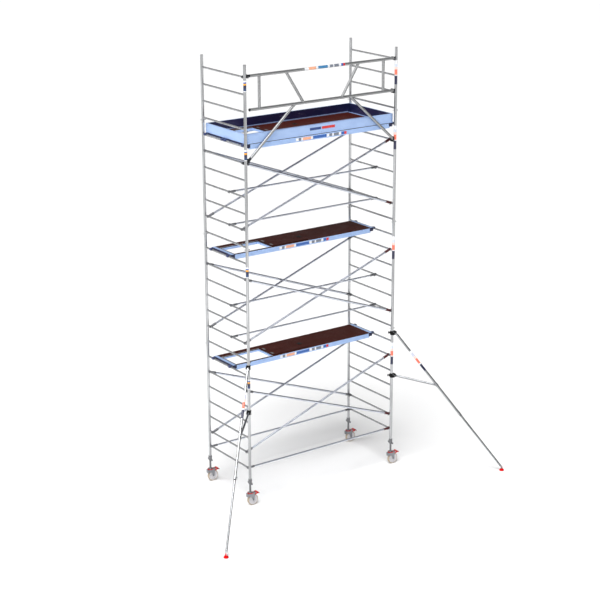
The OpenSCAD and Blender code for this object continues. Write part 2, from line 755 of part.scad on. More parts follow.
// Telescopic leg with its row of adjusting holes, ending in a fork for the foot
module stabiliser_leg(side) color("gainsboro") at_stabiliser(side) {
    ear_t = 6;
    ear_y = foot_lug_t / 2 + fit;
    fork_l = 44;
    start = leg_top + leg_vector * arm_share - unit(leg_vector) * leg_overlap;
    end = leg_foot - unit(leg_vector) * fork_l;
    difference() {
        tube(start, end, leg_d / 2, leg_wall);
        for (i = [0 : LEG_HOLES - 1])
            translate(end - unit(leg_vector) * (70 + i * leg_hole_pitch))
                rotate([90, 0, 0]) cylinder(h = 2 * leg_d, r = leg_hole_r, center = true);
    }
    along(leg_foot, leg_top) difference() {
        union() {
            for (s = [-1, 1]) translate([-13, s > 0 ? ear_y : -ear_y - ear_t, -14])
                cube([26, ear_t, fork_l + 14]);
            translate([0, 0, 30]) cylinder(h = fork_l - 30, r = leg_d / 2);
        }
        rotate([90, 0, 0]) cylinder(h = 4 * leg_d, r = foot_pin_r + 0.05, center = true);
    }
    translate(leg_foot) rotate([90, 0, 0])
        cylinder(h = 2 * (ear_y + ear_t) + 6, r = foot_pin_r, center = true);
}

// Rubber foot: a round pad with a lug that the leg's fork holds
module stabiliser_foot(side) color("red") at_stabiliser(side) translate([stabiliser_reach, 0, 0])
    difference() {
        union() {
            rotate_extrude() polygon([[0, 0], [foot_r, 0], [foot_r, 12], [foot_r - 8, 26], [0, 26]]);
            translate([-14, -foot_lug_t / 2, 20]) cube([28, foot_lug_t, foot_pivot_z - 20]);
            translate([0, 0, foot_pivot_z]) rotate([90, 0, 0])
                cylinder(h = foot_lug_t, r = 14, center = true);
        }
        translate([0, 0, foot_pivot_z]) rotate([90, 0, 0])
            cylinder(h = 2 * foot_lug_t, r = foot_pin_r + running, center = true);
    }

// ---------- the nodes ----------

left_frame(0);  // left_frame_1
left_frame(1);  // left_frame_2
left_frame(2);  // left_frame_3
left_frame(3);  // left_frame_4
right_frame(0);  // right_frame_1
right_frame(1);  // right_frame_2
right_frame(2);  // right_frame_3
right_frame(3);  // right_frame_4
frame_spigots();
frame_lock_pins();
level_braces(LEVEL_1_BRACES);  // level_1_braces
level_braces(LEVEL_2_BRACES);  // level_2_braces
level_braces(LEVEL_3_BRACES);  // level_3_braces
level_braces(LEVEL_2_RAILS);  // level_2_guardrails
level_braces(LEVEL_3_RAILS);  // level_3_guardrails
brace_claws();
claw_latches();
color("lightsteelblue") deck_frame(LOWER_DECK_RUNG, single_deck_y, true);  // lower_deck_frame
color("lightsteelblue") deck_frame(MIDDLE_DECK_RUNG, single_deck_y, true);  // middle_deck_frame
color("lightsteelblue") deck_frame(UPPER_DECK_RUNG, -upper_deck_y, false);  // upper_front_deck_frame
color("lightsteelblue") deck_frame(UPPER_DECK_RUNG, upper_deck_y, true);  // upper_rear_deck_frame
color("saddlebrown") deck_board(LOWER_DECK_RUNG, single_deck_y, true);  // lower_deck_board
color("saddlebrown") deck_board(MIDDLE_DECK_RUNG, single_deck_y, true);  // middle_deck_board
color("saddlebrown") deck_board(UPPER_DECK_RUNG, -upper_deck_y, false);  // upper_front_deck_board
color("saddlebrown") deck_board(UPPER_DECK_RUNG, upper_deck_y, true);  // upper_rear_deck_board
deck_hooks();
hatch_lid(LOWER_DECK_RUNG, single_deck_y);  // lower_hatch_lid
hatch_lid(MIDDLE_DECK_RUNG, single_deck_y);  // middle_hatch_lid
hatch_lid(UPPER_DECK_RUNG, upper_deck_y);  // upper_hatch_lid
toe_boards();
toe_board_brackets();
guardrail_frame();
spindle(LEFT, FRONT);  // front_left_spindle
wing_nut(LEFT, FRONT);  // front_left_wing_nut
fork(LEFT, FRONT);  // front_left_fork
wheel(LEFT, FRONT);  // front_left_wheel
brake_pedal(LEFT, FRONT);  // front_left_brake_pedal
spindle(RIGHT, FRONT);  // front_right_spindle
wing_nut(RIGHT, FRONT);  // front_right_wing_nut
fork(RIGHT, FRONT);  // front_right_fork
wheel(RIGHT, FRONT);  // front_right_wheel
brake_pedal(RIGHT, FRONT);  // front_right_brake_pedal
spindle(LEFT, REAR);  // rear_left_spindle
wing_nut(LEFT, REAR);  // rear_left_wing_nut
fork(LEFT, REAR);  // rear_left_fork
wheel(LEFT, REAR);  // rear_left_wheel
brake_pedal(LEFT, REAR);  // rear_left_brake_pedal
spindle(RIGHT, REAR);  // rear_right_spindle
wing_nut(RIGHT, REAR);  // rear_right_wing_nut
fork(RIGHT, REAR);  // rear_right_fork
wheel(RIGHT, REAR);  // rear_right_wheel
brake_pedal(RIGHT, REAR);  // rear_right_brake_pedal
stabiliser_clamps(LEFT);  // left_stabiliser_clamps
stabiliser_arm(LEFT);  // left_stabiliser_arm
stabiliser_leg(LEFT);  // left_stabiliser_leg
stabiliser_foot(LEFT);  // left_stabiliser_foot
stabiliser_clamps(RIGHT);  // right_stabiliser_clamps
stabiliser_arm(RIGHT);  // right_stabiliser_arm
stabiliser_leg(RIGHT);  // right_stabiliser_leg
stabiliser_foot(RIGHT);  // right_stabiliser_foot
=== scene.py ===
"""Looks of the mobile tower scaffold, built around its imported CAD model.

Everything is in metres in the model's own frame: +X along the bay, +Y to the rear, +Z up.
"""
import json
import math

import bmesh
import bpy
from mathutils import Matrix, Vector


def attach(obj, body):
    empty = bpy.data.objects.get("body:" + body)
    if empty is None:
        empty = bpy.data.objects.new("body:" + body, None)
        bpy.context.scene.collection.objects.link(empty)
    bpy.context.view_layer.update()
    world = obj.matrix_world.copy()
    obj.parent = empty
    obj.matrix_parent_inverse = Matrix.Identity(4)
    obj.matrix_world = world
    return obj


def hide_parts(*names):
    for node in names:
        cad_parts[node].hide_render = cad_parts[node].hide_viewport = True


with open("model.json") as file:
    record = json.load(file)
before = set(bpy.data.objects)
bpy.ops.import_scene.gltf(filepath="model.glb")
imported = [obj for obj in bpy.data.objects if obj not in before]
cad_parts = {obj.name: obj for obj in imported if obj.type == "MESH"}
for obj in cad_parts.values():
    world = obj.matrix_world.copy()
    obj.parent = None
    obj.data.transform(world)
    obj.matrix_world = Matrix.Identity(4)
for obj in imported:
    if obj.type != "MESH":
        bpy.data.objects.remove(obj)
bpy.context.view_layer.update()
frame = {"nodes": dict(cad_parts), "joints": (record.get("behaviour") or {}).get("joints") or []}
NODES = frame["nodes"]
JOINTS = {joint["name"]: joint for joint in frame["joints"]}

# ---------------------------------------------------------------- sizes shared with the CAD part

MM = 0.001
UP = Vector((0, 0, 1))
RUNG_PITCH = 0.280
FIRST_RUNG = 0.677
UPRIGHT_R = 0.025
RUNG_R = 0.016
LEFT, RIGHT, FRONT, REAR = -1, 1, -1, 1
SIDES = {"left": LEFT, "right": RIGHT}
CORNERS = {
    "front_left": (LEFT, FRONT), "front_right": (RIGHT, FRONT),
    "rear_left": (LEFT, REAR), "rear_right": (RIGHT, REAR),
}


def swivel_axis(corner):
    """A point on the vertical axis of a corner's castor and upright."""
    return Vector(JOINTS[corner + "_swivel_turn"]["pos_m"])


HALF_BAY = swivel_axis("front_right").x
FRONT_Y = swivel_axis("front_left").y
REAR_Y = swivel_axis("rear_left").y
BAY_Y = (FRONT_Y + REAR_Y) / 2
HALF_WIDTH = (REAR_Y - FRONT_Y) / 2
TOE_END_X = HALF_BAY - RUNG_R - 0.019
TOE_FRONT_Y = HALF_WIDTH - UPRIGHT_R - 0.005
RUNGS_OF_FRAME = {1: range(0, 7), 2: range(7, 14), 3: range(14, 21), 4: range(21, 25)}
FRAME_STUB = 0.199  # from a frame's top rung to the joint above it
CLAMP_HEIGHTS = (2.518, 1.712)
CLAMP_LUG, FOOT_REACH, FOOT_PIVOT_Z = 0.062, 2.020, 0.058


def rung_z(number):
    """Height of a rung, counted from the lowest one, number 0."""
    return FIRST_RUNG + number * RUNG_PITCH


def leg_direction(name):
    """Unit direction down a stabiliser's leg."""
    slide = Vector(JOINTS[name + "_leg_slide"]["axis"]).normalized()
    return slide if slide.z < 0 else -slide


HALF_ROOT = 0.5 ** 0.5
# up the right stabiliser's arm, which the left one mirrors, and level across it
STABILISER_LINES = -leg_direction("right"), Vector((HALF_ROOT, HALF_ROOT, 0))


# ---------------------------------------------------------------- node trees written as expressions


class Value:
    """A number or vector in a node tree that arithmetic can be written with."""

    def __init__(self, graph, socket):
        self.graph = graph
        self.socket = socket

    def _math(self, operation, *others):
        inputs = dict(enumerate((self, *others)))
        return self.graph.node("ShaderNodeMath", {"operation": operation}, inputs)

    def __rsub__(self, other):
        return self.graph.node("ShaderNodeMath", {"operation": "SUBTRACT"}, {0: other, 1: self})


def operator(operation):
    """Method that applies one operation of the maths node to a value."""
    return lambda self, *others: self._math(operation, *others)


# "wrapped" is the remainder after whole lengths, never below zero
for method, operation in {
    "__add__": "ADD", "__radd__": "ADD", "__sub__": "SUBTRACT", "__mul__": "MULTIPLY",
    "__rmul__": "MULTIPLY", "__gt__": "GREATER_THAN", "__lt__": "LESS_THAN",
    "__abs__": "ABSOLUTE", "at_least": "MAXIMUM", "wrapped": "FLOORED_MODULO",
    "sine": "SINE", "angle_from": "ARCTAN2",
}.items():
    setattr(Value, method, operator(operation))


class Graph:
    """Adds nodes to a shader or geometry node tree."""

    def __init__(self, tree):
        self.tree = tree

    def node(self, kind, settings=None, inputs=None, output=0):
        node = self.tree.nodes.new(kind)
        for name, value in (settings or {}).items():
            if name == "stops":
                self._stops(node.color_ramp, value)
            else:
                setattr(node, name, value)
        for key, value in (inputs or {}).items():
            self.connect(node.inputs[key], value)
        return Value(self, node.outputs[output])

    def connect(self, socket, value):
        if isinstance(value, Value):
            self.tree.links.new(value.socket, socket)
        else:
            socket.default_value = value

    def span(self, value, low, high, to_low=0.0, to_high=1.0):
        """Value moved from one span to another, and kept inside it."""
        return self.node(
            "ShaderNodeMapRange", {"clamp": True},
            {"Value": value, "From Min": low, "From Max": high, "To Min": to_low,
             "To Max": to_high},
        )

    def mix(self, factor, first, second):
        settings = {"data_type": "RGBA", "clamp_factor": True}
        return self.node("ShaderNodeMix", settings, {0: factor, 6: first, 7: second}, 2)

    @staticmethod
    def _stops(ramp, stops):
        while len(ramp.elements) > 1:
            ramp.elements.remove(ramp.elements[-1])
        ramp.elements[0].position, ramp.elements[0].color = stops[0]
        for position, colour in stops[1:]:
            ramp.elements.new(position).color = colour


def tint(red, green, blue):
    """A linear colour from the 0-255 values that a colour chart gives."""
    linear = [
        c / 255 / 12.92 if c <= 10 else ((c / 255 + 0.055) / 1.055) ** 2.4
        for c in (red, green, blue)
    ]
    return (*linear, 1.0)


class Finish(Graph):
    """A procedural material for one kind of surface."""

    def __init__(self, name, **constants):
        self.material = bpy.data.materials.new(name)
        self.material.use_nodes = True
        super().__init__(self.material.node_tree)
        self.shader = self.tree.nodes["Principled BSDF"]
        for key, value in constants.items():
            self.shader.inputs[key.replace("_", " ")].default_value = value
        self.place = self.node("ShaderNodeTexCoord", output="Object")

    def axis(self, name, vector=None):
        return self.node("ShaderNodeSeparateXYZ", None, {0: vector or self.place}, name)

    def stretched(self, scale, vector=None):
        settings = {"operation": "MULTIPLY"}
        if isinstance(scale, float):
            scale = (scale,) * 3
        return self.node("ShaderNodeVectorMath", settings, {0: vector or self.place, 1: scale})

    def noise(self, scale, detail=3.0, roughness=0.55, vector=None):
        """Noise with so many features per metre, the same number or one for each axis."""
        return self.node(
            "ShaderNodeTexNoise", {"noise_dimensions": "3D"},
            {"Vector": self.stretched(scale, vector), "Scale": 1.0, "Detail": detail,
             "Roughness": roughness},
        )

    def cells(self, scale):
        """Colours that differ from cell to cell."""
        inputs = {"Vector": self.stretched(scale), "Scale": 1.0}
        return self.node("ShaderNodeTexVoronoi", None, inputs, "Color")

    def blocks(self, value, stops):
        """Plain blocks of colour along a value, each from where it starts."""
        found = self.node("ShaderNodeValToRGB", {"stops": stops}, {0: value})
        found.socket.node.color_ramp.interpolation = "CONSTANT"
        return found

    def give(self, **values):
        for key, value in values.items():
            self.connect(self.shader.inputs[key.replace("_", " ")], value)
        return self

    def bump(self, height, depth):
        """Relief of this depth in metres, from a height between 0 and 1."""
        return self.give(Normal=self.node(
            "ShaderNodeBump", None, {"Height": height, "Distance": depth, "Strength": 1.0}))


# ---------------------------------------------------------------- finishes


def scaled(tone, share, lift=0.0):
    """The tone made darker or lighter, never past white."""
    return tuple(min(1.0, c * share + lift) for c in tone[:3]) + (1,)


def scuffs(finish, density=9.0, amount=0.5):
    """Mask of thin scratches and rubbed patches."""
    lines = finish.noise((density, density * 1.3, density * 14), 4.0, 0.7)
    patches = finish.noise(density * 0.4, 2.0)
    return finish.span(lines, 0.60, 0.72) * finish.span(patches, 0.45, 0.65) * amount


def drawn_aluminium(name, tone, along, rough, cloud_and_reflection_contrast, ribbed=False, other_tones=None):
    """Satin drawn tube: fine lines along it, broad soft clouding and small scuffs. The clouding's
    strong contrast between dark and light tones is partly real clouding and partly painted
    reflection: light and dark bands round the tube.

    The lines run along the axis with the number "along", or where "along" is a pair of
    directions, along the first of them, mirrored from side to side. other_tones takes the
    finish and gives a mask, and the dark and light tones of the parts that it covers.
    """
    finish = Finish(name, Metallic=1.0, Specular_IOR_Level=0.5)
    lines, clouds = tube_noise(finish, along, 420.0, 3.0), tube_noise(finish, along, 62.0, 1.0)
    rubbed = scuffs(finish)
    dark, light = scaled(tone, 1 - cloud_and_reflection_contrast), scaled(tone, 1 + cloud_and_reflection_contrast)
    # painted reflection: the clouding between dark and light tones also paints light and dark bands
    # round the tube
    colour = finish.mix(finish.span(clouds, 0.34, 0.66), dark, light)
    colour = finish.mix(finish.span(lines, 0.35, 0.65) * 0.35, colour, dark)
    colour = finish.mix(rubbed, colour, light)
    if other_tones:
        mask, low, high = other_tones(finish)
        colour = finish.mix(mask, colour, finish.mix(clouds, low, high))
    finish.give(
        Base_Color=colour,
        Roughness=finish.span(lines, 0.3, 0.7, rough - 0.06, rough + 0.08) + rubbed * 0.18,
    )
    if ribbed:
        return finish.bump(lines * 0.15 + rung_ribs(finish), 0.0004)
    return finish.bump(lines, 0.00005)


def tube_noise(finish, along, across_scale, along_scale):
    """Noise drawn out along the tubes: an axis by its number, or a pair of slanted directions."""
    if isinstance(along, int):
        scale = [across_scale] * 3
        scale[along] = along_scale
        return finish.noise(scale, 3.0, 0.6)
    x, y, z = (finish.axis(a) for a in "XYZ")
    run, rise = along
    parts = [abs(x) * way.x + y * way.y + z * way.z for way in (run, rise, run.cross(rise))]
    place = finish.node("ShaderNodeCombineXYZ", None, dict(enumerate(parts)))
    return finish.noise((along_scale, across_scale, across_scale), 3.0, 0.6, place)


def rung_ribs(finish):
    """Lengthwise ribs on the rungs only: their angle round the rung's axis gives the ribs."""
    x, y, z = (finish.axis(a) for a in "XYZ")
    across = abs(x) - HALF_BAY
    level = (z - (FIRST_RUNG - RUNG_PITCH / 2)).wrapped(RUNG_PITCH) - RUNG_PITCH / 2
    ribs = (level.angle_from(across) * 20.0).sine() * 0.5 + 0.5
    on_rung = abs(y - BAY_Y) < HALF_WIDTH - UPRIGHT_R - 0.004
    return ribs * on_rung


def zinc(name, tone, rough=0.38):
    """Zinc plated steel with faint spangle and handling marks."""
    finish = Finish(name, Metallic=0.9)
    grey = finish.node("ShaderNodeRGBToBW", None, {0: finish.cells(240.0)})
    clouds = finish.noise(60.0, 4.0, 0.6)
    dulled = finish.span(clouds, 0.3, 0.7) * 0.6 + grey * 0.25
    finish.give(
        Base_Color=finish.mix(dulled, tone, scaled(tone, 0.6)),
        Roughness=finish.span(clouds, 0.3, 0.7, rough - 0.08, rough + 0.12),
    )
    return finish.bump(clouds, 0.0002)


def cast_metal(name, tone, rough=0.5, metallic=0.85):
    """Sand-cast metal with a pitted skin and rubbed high spots."""
    finish = Finish(name, Metallic=metallic)
    pits = finish.noise(700.0, 5.0, 0.65)
    clouds = finish.noise(45.0, 3.0)
    light = scaled(tone, 1.7, 0.02)
    finish.give(
        Base_Color=finish.mix(finish.span(clouds, 0.45, 0.75) * 0.6, tone, light),
        Roughness=finish.span(pits, 0.3, 0.7, rough - 0.1, rough + 0.12),
    )
    return finish.bump(pits, 0.0004)


def anodised(name, tone, shade, painted_shade_where=None):
    """Coloured aluminium profile, with long extrusion lines and a few rubs.

    The last argument takes the finish and gives the mask of the faces where navy is painted as
    shade: the dark reflection those faces show.
    """
    finish = Finish(name, Metallic=0.35, Coat_Weight=0.25, Coat_Roughness=0.3)
    lines = finish.noise((2.0, 2.0, 260.0), 3.0)
    clouds = finish.noise((5.0, 5.0, 9.0), 3.0)
    rubbed = scuffs(finish, 7.0, 0.7)
    colour = finish.mix(finish.span(clouds, 0.35, 0.7), tone, shade)
    if painted_shade_where:
        # navy painted shade: the dark reflection of the masked faces, painted into their colour
        navy = finish.mix(finish.span(clouds, 0.35, 0.7), tint(30, 34, 78), tint(46, 40, 84))
        colour = finish.mix(painted_shade_where(finish), colour, navy)
    finish.give(
        Base_Color=finish.mix(rubbed, colour, tint(214, 220, 228)),
        Roughness=finish.span(lines, 0.3, 0.7, 0.28, 0.44),
    )
    return finish.bump(lines, 0.00008)


def end_beam_painted_shade(finish):
    """Mask of the outer faces of the deck frames' end beams, where navy is painted as shade: the
    dark reflection these faces show.
    """
    return abs(finish.axis("X")) > HALF_BAY - 0.0362


def toe_inner_painted_shade(finish):
    """Mask of the toe boards' faces that look into the platform, where navy is painted as shade:
    the dark reflection these inner faces show.
    """
    x, y = finish.axis("X"), finish.axis("Y") - BAY_Y
    board_t = 0.0212
    return (abs(x) < TOE_END_X - board_t) * (abs(y) < TOE_FRONT_Y - board_t)


def claws_of_rail(finish):
    """The guardrail frame's cast claws and the plug of its lower rail, with their tones."""
    x = finish.axis("X")
    mask = (abs(x) > HALF_BAY - 0.0598).at_least(x < -(HALF_BAY - 0.0902))
    return mask, tint(44, 45, 50), tint(70, 71, 76)


def stays(finish):
    """The stabilisers' stays, which lie below the line of the main tubes, with their tones."""
    x, z = abs(finish.axis("X")) - HALF_BAY, finish.axis("Z")
    slope = (CLAMP_HEIGHTS[0] - FOOT_PIVOT_Z) / ((FOOT_REACH - CLAMP_LUG) * HALF_ROOT)
    tube_line = CLAMP_HEIGHTS[0] + CLAMP_LUG * HALF_ROOT * slope
    under = (z < 2.30) * (z + x * slope < tube_line - 0.045)
    return under * (z > 1.50), tint(112, 114, 117), tint(160, 162, 165)


def moulded(name, tone, rough=0.42, coat=0.0, gloss=0.4):
    """Moulded plastic: fine grain, small colour drift, worn places slightly paler."""
    finish = Finish(name, Coat_Weight=coat, Coat_Roughness=0.2, Specular_IOR_Level=gloss)
    grain = finish.noise(900.0, 3.0, 0.6)
    clouds = finish.noise(30.0, 3.0)
    finish.give(
        Base_Color=finish.mix(finish.span(clouds, 0.5, 0.8) * 0.5, tone, scaled(tone, 0.86, 0.03)),
        Roughness=finish.span(grain, 0.3, 0.7, rough - 0.07, rough + 0.1),
    )
    return finish.bump(grain, 0.0002)


def coated_steel(name, tone, rough=0.36, gloss=0.5, coat=0.2):
    """Powder-coated steel with an orange-peel skin, and bare metal where it is chipped."""
    finish = Finish(name, Coat_Weight=coat, Coat_Roughness=0.25, Specular_IOR_Level=gloss)
    peel = finish.noise(260.0, 2.0)
    chips = finish.span(finish.noise(70.0, 5.0, 0.7), 0.68, 0.72)
    finish.give(
        Base_Color=finish.mix(chips, tone, tint(120, 122, 126)),
        Metallic=chips * 0.8,
        Roughness=finish.span(peel, 0.3, 0.7, rough - 0.05, rough + 0.1),
    )
    return finish.bump(peel, 0.00015)


def film_faced_plywood(name):
    """Dark film-faced plywood: a wire-mesh print on its faces, and its plies on the edges."""
    finish = Finish(name, Specular_IOR_Level=0.10)
    normal_z = finish.axis("Z", finish.node("ShaderNodeNewGeometry", output="Normal"))
    edge = abs(normal_z) < 0.5
    x, y, z = (finish.axis(a) for a in "XYZ")
    wires = ((x + y) * 780.0).sine().at_least(((x - y) * 780.0).sine())
    mesh_print = finish.span(wires, 0.55, 0.95)
    grain = finish.noise((3.0, 42.0, 42.0), 5.0, 0.6)
    dust = finish.noise(4.0, 5.0, 0.7)
    film = finish.mix(finish.span(grain, 0.3, 0.7), tint(54, 10, 3), tint(70, 20, 9))
    film = finish.mix(finish.span(dust, 0.55, 0.8) * 0.14, film, tint(100, 58, 46))
    plies = (z * 2600.0).sine() * 0.5 + 0.5
    wood = finish.mix(plies, tint(34, 14, 9), tint(74, 44, 30))
    finish.give(
        Base_Color=finish.mix(edge, film, wood),
        Roughness=finish.span(dust, 0.3, 0.7, 0.52, 0.68) - mesh_print * 0.06,
    )
    return finish.bump(mesh_print * (1 - edge) + plies * edge, 0.0003)


def sticker(name, blocks):
    """Printed foil in plain blocks of colour, each with the share of the length where it starts."""
    finish = Finish(name, Coat_Weight=0.6, Coat_Roughness=0.08)
    uv = finish.node("ShaderNodeUVMap", {"uv_map": "foil"})
    colours = finish.blocks(finish.axis("X", uv), blocks)
    wrinkles = finish.noise(90.0, 2.0)
    wear = finish.span(finish.noise(160.0, 5.0, 0.7), 0.66, 0.72)
    finish.give(
        Base_Color=finish.mix(wear * 0.7, colours, tint(226, 226, 224)),
        Roughness=finish.span(wrinkles, 0.3, 0.7, 0.22, 0.36),
    )
    return finish.bump(wrinkles, 0.0001)


def studio_floor(name):
    """Plain pale floor."""
    finish = Finish(name)
    clouds = finish.noise(0.4, 2.0)
    finish.give(
        Base_Color=finish.mix(clouds, (0.90, 0.90, 0.90, 1), (0.92, 0.92, 0.92, 1)),
        Roughness=finish.span(clouds, 0.3, 0.7, 0.85, 0.95),
    )
    return finish


WHITE, CORAL, NAVY = tint(240, 242, 246), tint(250, 118, 92), tint(10, 14, 62)
BLUE, ORANGE, TEAL = tint(24, 92, 176), tint(255, 172, 0), tint(60, 130, 180)
RED, PALE_CORAL = tint(214, 30, 30), tint(250, 214, 204)
GREY, PALE_ORANGE = tint(120, 126, 140), tint(246, 176, 140)

FINISHES = {
    # frame and stabiliser tubes: their high contrast paints light and dark reflection bands into
    # the clouding
    "frame": drawn_aluminium("frame aluminium", tint(188, 189, 191), 2, 0.24, 0.46, ribbed=True),
    "brace": drawn_aluminium("brace aluminium", tint(216, 220, 230), 0, 0.30, 0.18),
    "stabiliser": drawn_aluminium("stabiliser aluminium", tint(180, 182, 185), STABILISER_LINES,
                                  0.20, 0.40, other_tones=stays),
    "guard": drawn_aluminium("guardrail aluminium", tint(172, 173, 174), 0, 0.50, 0.18,
                             other_tones=claws_of_rail),
    "zinc": zinc("zinc plate", tint(150, 152, 155)),
    "bright zinc": zinc("bright zinc plate", tint(158, 160, 165), 0.30),
    "dark zinc": zinc("dark zinc", tint(138, 139, 142), 0.42),
    "weld": cast_metal("weld bead", tint(150, 152, 154), 0.4, 1.0),
    "claw": cast_metal("cast claw", tint(124, 125, 129), 0.42),
    "guard plain": anodised("plain aluminium strip", tint(190, 194, 200), tint(168, 172, 178)),
    "plain blue": anodised("pale blue strip", tint(174, 203, 248), tint(160, 190, 238)),
    "latch": moulded("black latch", tint(26, 26, 28)),
    # navy painted shade on the end beams' outer faces
    "beam": anodised("pale blue profile", tint(174, 203, 248), tint(160, 190, 238), end_beam_painted_shade),
    "navy": coated_steel("navy steel", tint(28, 44, 96)),
    "board": film_faced_plywood("deck plywood"),
    # navy painted shade on the toe boards' inner faces
    "toe": anodised("toe board profile", tint(176, 203, 246), tint(166, 194, 240), toe_inner_painted_shade),
    "bracket": moulded("navy bracket", tint(22, 28, 66)),
    "nylon": moulded("wheel nylon", tint(216, 214, 217), 0.32, 0.2),
    "tyre": moulded("beige tread", tint(182, 166, 146), 0.55),
    "red": moulded("red plastic", tint(196, 0, 4), 0.45, 0.0, 0.12),
    "maroon claw": cast_metal("maroon cast claw", tint(92, 44, 48), 0.42, 0.6),
    "black": coated_steel("black steel", tint(8, 8, 9), 0.5, 0.2, 0.0),
    "foot": moulded("red rubber", tint(214, 0, 2), 0.55, 0.0, 0.12),
}


def paint(node, finish):
    """Gives a CAD node, whose mesh stays as it is, its finish."""
    mesh = NODES[node].data
    mesh.materials.clear()
    mesh.materials.append(FINISHES[finish].material)


DECK_NAMES = ("lower", "middle", "upper_front", "upper_rear")
CAD_FINISHES = {
    "frame": [f"{side}_frame_{level}" for side in SIDES for level in RUNGS_OF_FRAME],
    "zinc": ["frame_spigots", "frame_lock_pins"] + [corner + "_fork" for corner in CORNERS],
    "brace": ["level_1_braces"] + [f"level_{level}_{kind}" for level in (2, 3)
                                   for kind in ("braces", "guardrails")],
    "claw": ["brace_claws"],
    "latch": ["claw_latches"],
    "beam": [deck + "_deck_frame" for deck in DECK_NAMES],
    "board": [deck + "_deck_board" for deck in DECK_NAMES]
    + [level + "_hatch_lid" for level in ("lower", "middle", "upper")],
    "navy": ["deck_hooks"],
    "toe": ["toe_boards"],
    "bracket": ["toe_board_brackets"],
    "guard": ["guardrail_frame"],
    "dark zinc": [corner + kind for corner in CORNERS for kind in ("_spindle", "_wing_nut")],
    "nylon": [corner + "_wheel" for corner in CORNERS],
    "red": [corner + "_brake_pedal" for corner in CORNERS],
    "black": [side + "_stabiliser_clamps" for side in SIDES],
    "stabiliser": [f"{side}_stabiliser_{kind}" for side in SIDES for kind in ("arm", "leg")],
    "foot": [side + "_stabiliser_foot" for side in SIDES],
}
for finish, nodes in CAD_FINISHES.items():
    for node in nodes:
        paint(node, finish)

# ---------------------------------------------------------------- making and placing pieces


def piece(name, shape, finish, body, replaces=(), smooth=35.0, bevel=0.0):
    """Turns a bmesh in the model's frame into a piece that rides on a body."""
    if bevel:
        sharp = [e for e in shape.edges if len(e.link_faces) == 2
                 and e.calc_face_angle(0) > math.radians(30)]
        bmesh.ops.bevel(shape, geom=sharp, offset=bevel, segments=2, affect="EDGES",
                        clamp_overlap=True)
    bmesh.ops.recalc_face_normals(shape, faces=shape.faces)
    for face in shape.faces:
        face.smooth = True
    for edge in shape.edges:
        edge.smooth = len(edge.link_faces) == 2 and edge.calc_face_angle(0) < math.radians(smooth)
    mesh = bpy.data.meshes.new(name)
    shape.to_mesh(mesh)
    shape.free()
    mesh.materials.append(FINISHES[finish].material)
    made = bpy.data.objects.new(name, mesh)
    bpy.context.scene.collection.objects.link(made)
    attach(made, body)
    if replaces:
        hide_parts(*replaces)
    return made


def loop_faces(shape, rings):
    """Faces between closed rings of vertices that follow each other."""
    for first, second in zip(rings, rings[1:]):
        for i in range(len(first)):
            j = (i + 1) % len(first)
            shape.faces.new((first[i], first[j], second[j], second[i]))


def lathe(shape, profile, axis, place, sides=48):
    """Closed turned solid, whose profile is (radius, distance along the axis), cap to cap."""
    turn = Vector(axis).to_track_quat("Z", "Y").to_matrix()
    place = Vector(place)
    rings = []
    for radius, along in profile:
        rings.append([
            shape.verts.new(place + turn @ Vector((
                radius * math.cos(2 * math.pi * k / sides),
                radius * math.sin(2 * math.pi * k / sides), along)))
            for k in range(sides)
        ])
    loop_faces(shape, rings)
    if (Vector(profile[0]) - Vector(profile[-1])).length > 1e-6:
        shape.faces.new(rings[0])
        shape.faces.new(list(reversed(rings[-1])))
    else:
        bmesh.ops.remove_doubles(shape, verts=rings[0] + rings[-1], dist=1e-7)
    return shape


def slab(shape, outline, thickness, matrix):
    """Prism: outline is drawn in X and Y, and its thickness is centred on Z, before matrix."""
    low = [shape.verts.new(matrix @ Vector((x, y, -thickness / 2))) for x, y in outline]
    high = [shape.verts.new(matrix @ Vector((x, y, thickness / 2))) for x, y in outline]
    loop_faces(shape, [low, high])
    shape.faces.new(list(reversed(low)))
    shape.faces.new(high)
    return shape


def rounded(outline, radius, steps=4):
    """Outline with its corners rounded."""
    points = []
    count = len(outline)
    for i in range(count):
        before, here, after = (Vector(outline[(i + k) % count]) for k in (-1, 0, 1))
        to_before, to_after = (before - here), (after - here)
        cut = min(radius, to_before.length * 0.45, to_after.length * 0.45)
        start, end = here + to_before.normalized() * cut, here + to_after.normalized() * cut
        for k in range(steps + 1):
            t = k / steps
            points.append((start * (1 - t) ** 2 + here * 2 * t * (1 - t) + end * t ** 2)[:])
    return points


def box(shape, corner, opposite):
    """Plain block between any two opposite corners, for bevelling."""
    low, high = (Vector([pick(pair) for pair in zip(corner, opposite)]) for pick in (min, max))
    outline = [(low.x, low.y), (high.x, low.y), (high.x, high.y), (low.x, high.y)]
    return slab(shape, outline, high.z - low.z, Matrix.Translation(UP * (low.z + high.z) / 2))


def mm(points):
    """Points of an outline that is drawn in millimetres."""
    return [(x * MM, y * MM) for x, y in points]


def both_halves(half, middle=()):
    """Closed profile for lathe from its half on the axis's far side, and points on its middle."""
    near = [(radius, -along) for radius, along in half]
    return near + list(middle) + half[::-1] + near[:1]


def upright_plane(place):
    """Matrix whose X and Y lie along the model's X and Z, at a place."""
    return Matrix.Translation(place) @ Matrix.Rotation(math.pi / 2, 4, "X")


def arc(radius, start, end, steps):
    """Points along an arc between two angles in degrees."""
    angles = [math.radians(start + (end - start) * k / steps) for k in range(steps + 1)]
    return [(radius * math.cos(angle), radius * math.sin(angle)) for angle in angles]


def bolt_head(shape, place, axis, across, height):
    """Hexagon head with a washer, seated at place and standing along axis."""
    turn = Matrix.Translation(place) @ Vector(axis).to_track_quat("Z", "Y").to_matrix().to_4x4()
    lathe(shape, [(across * 0.72, 0), (across * 0.72, height * 0.22)], axis, place, 24)
    hexagon = arc(across * 0.577, 0, 300, 5)
    slab(shape, hexagon, height * 0.78, turn @ Matrix.Translation(UP * height * 0.61))


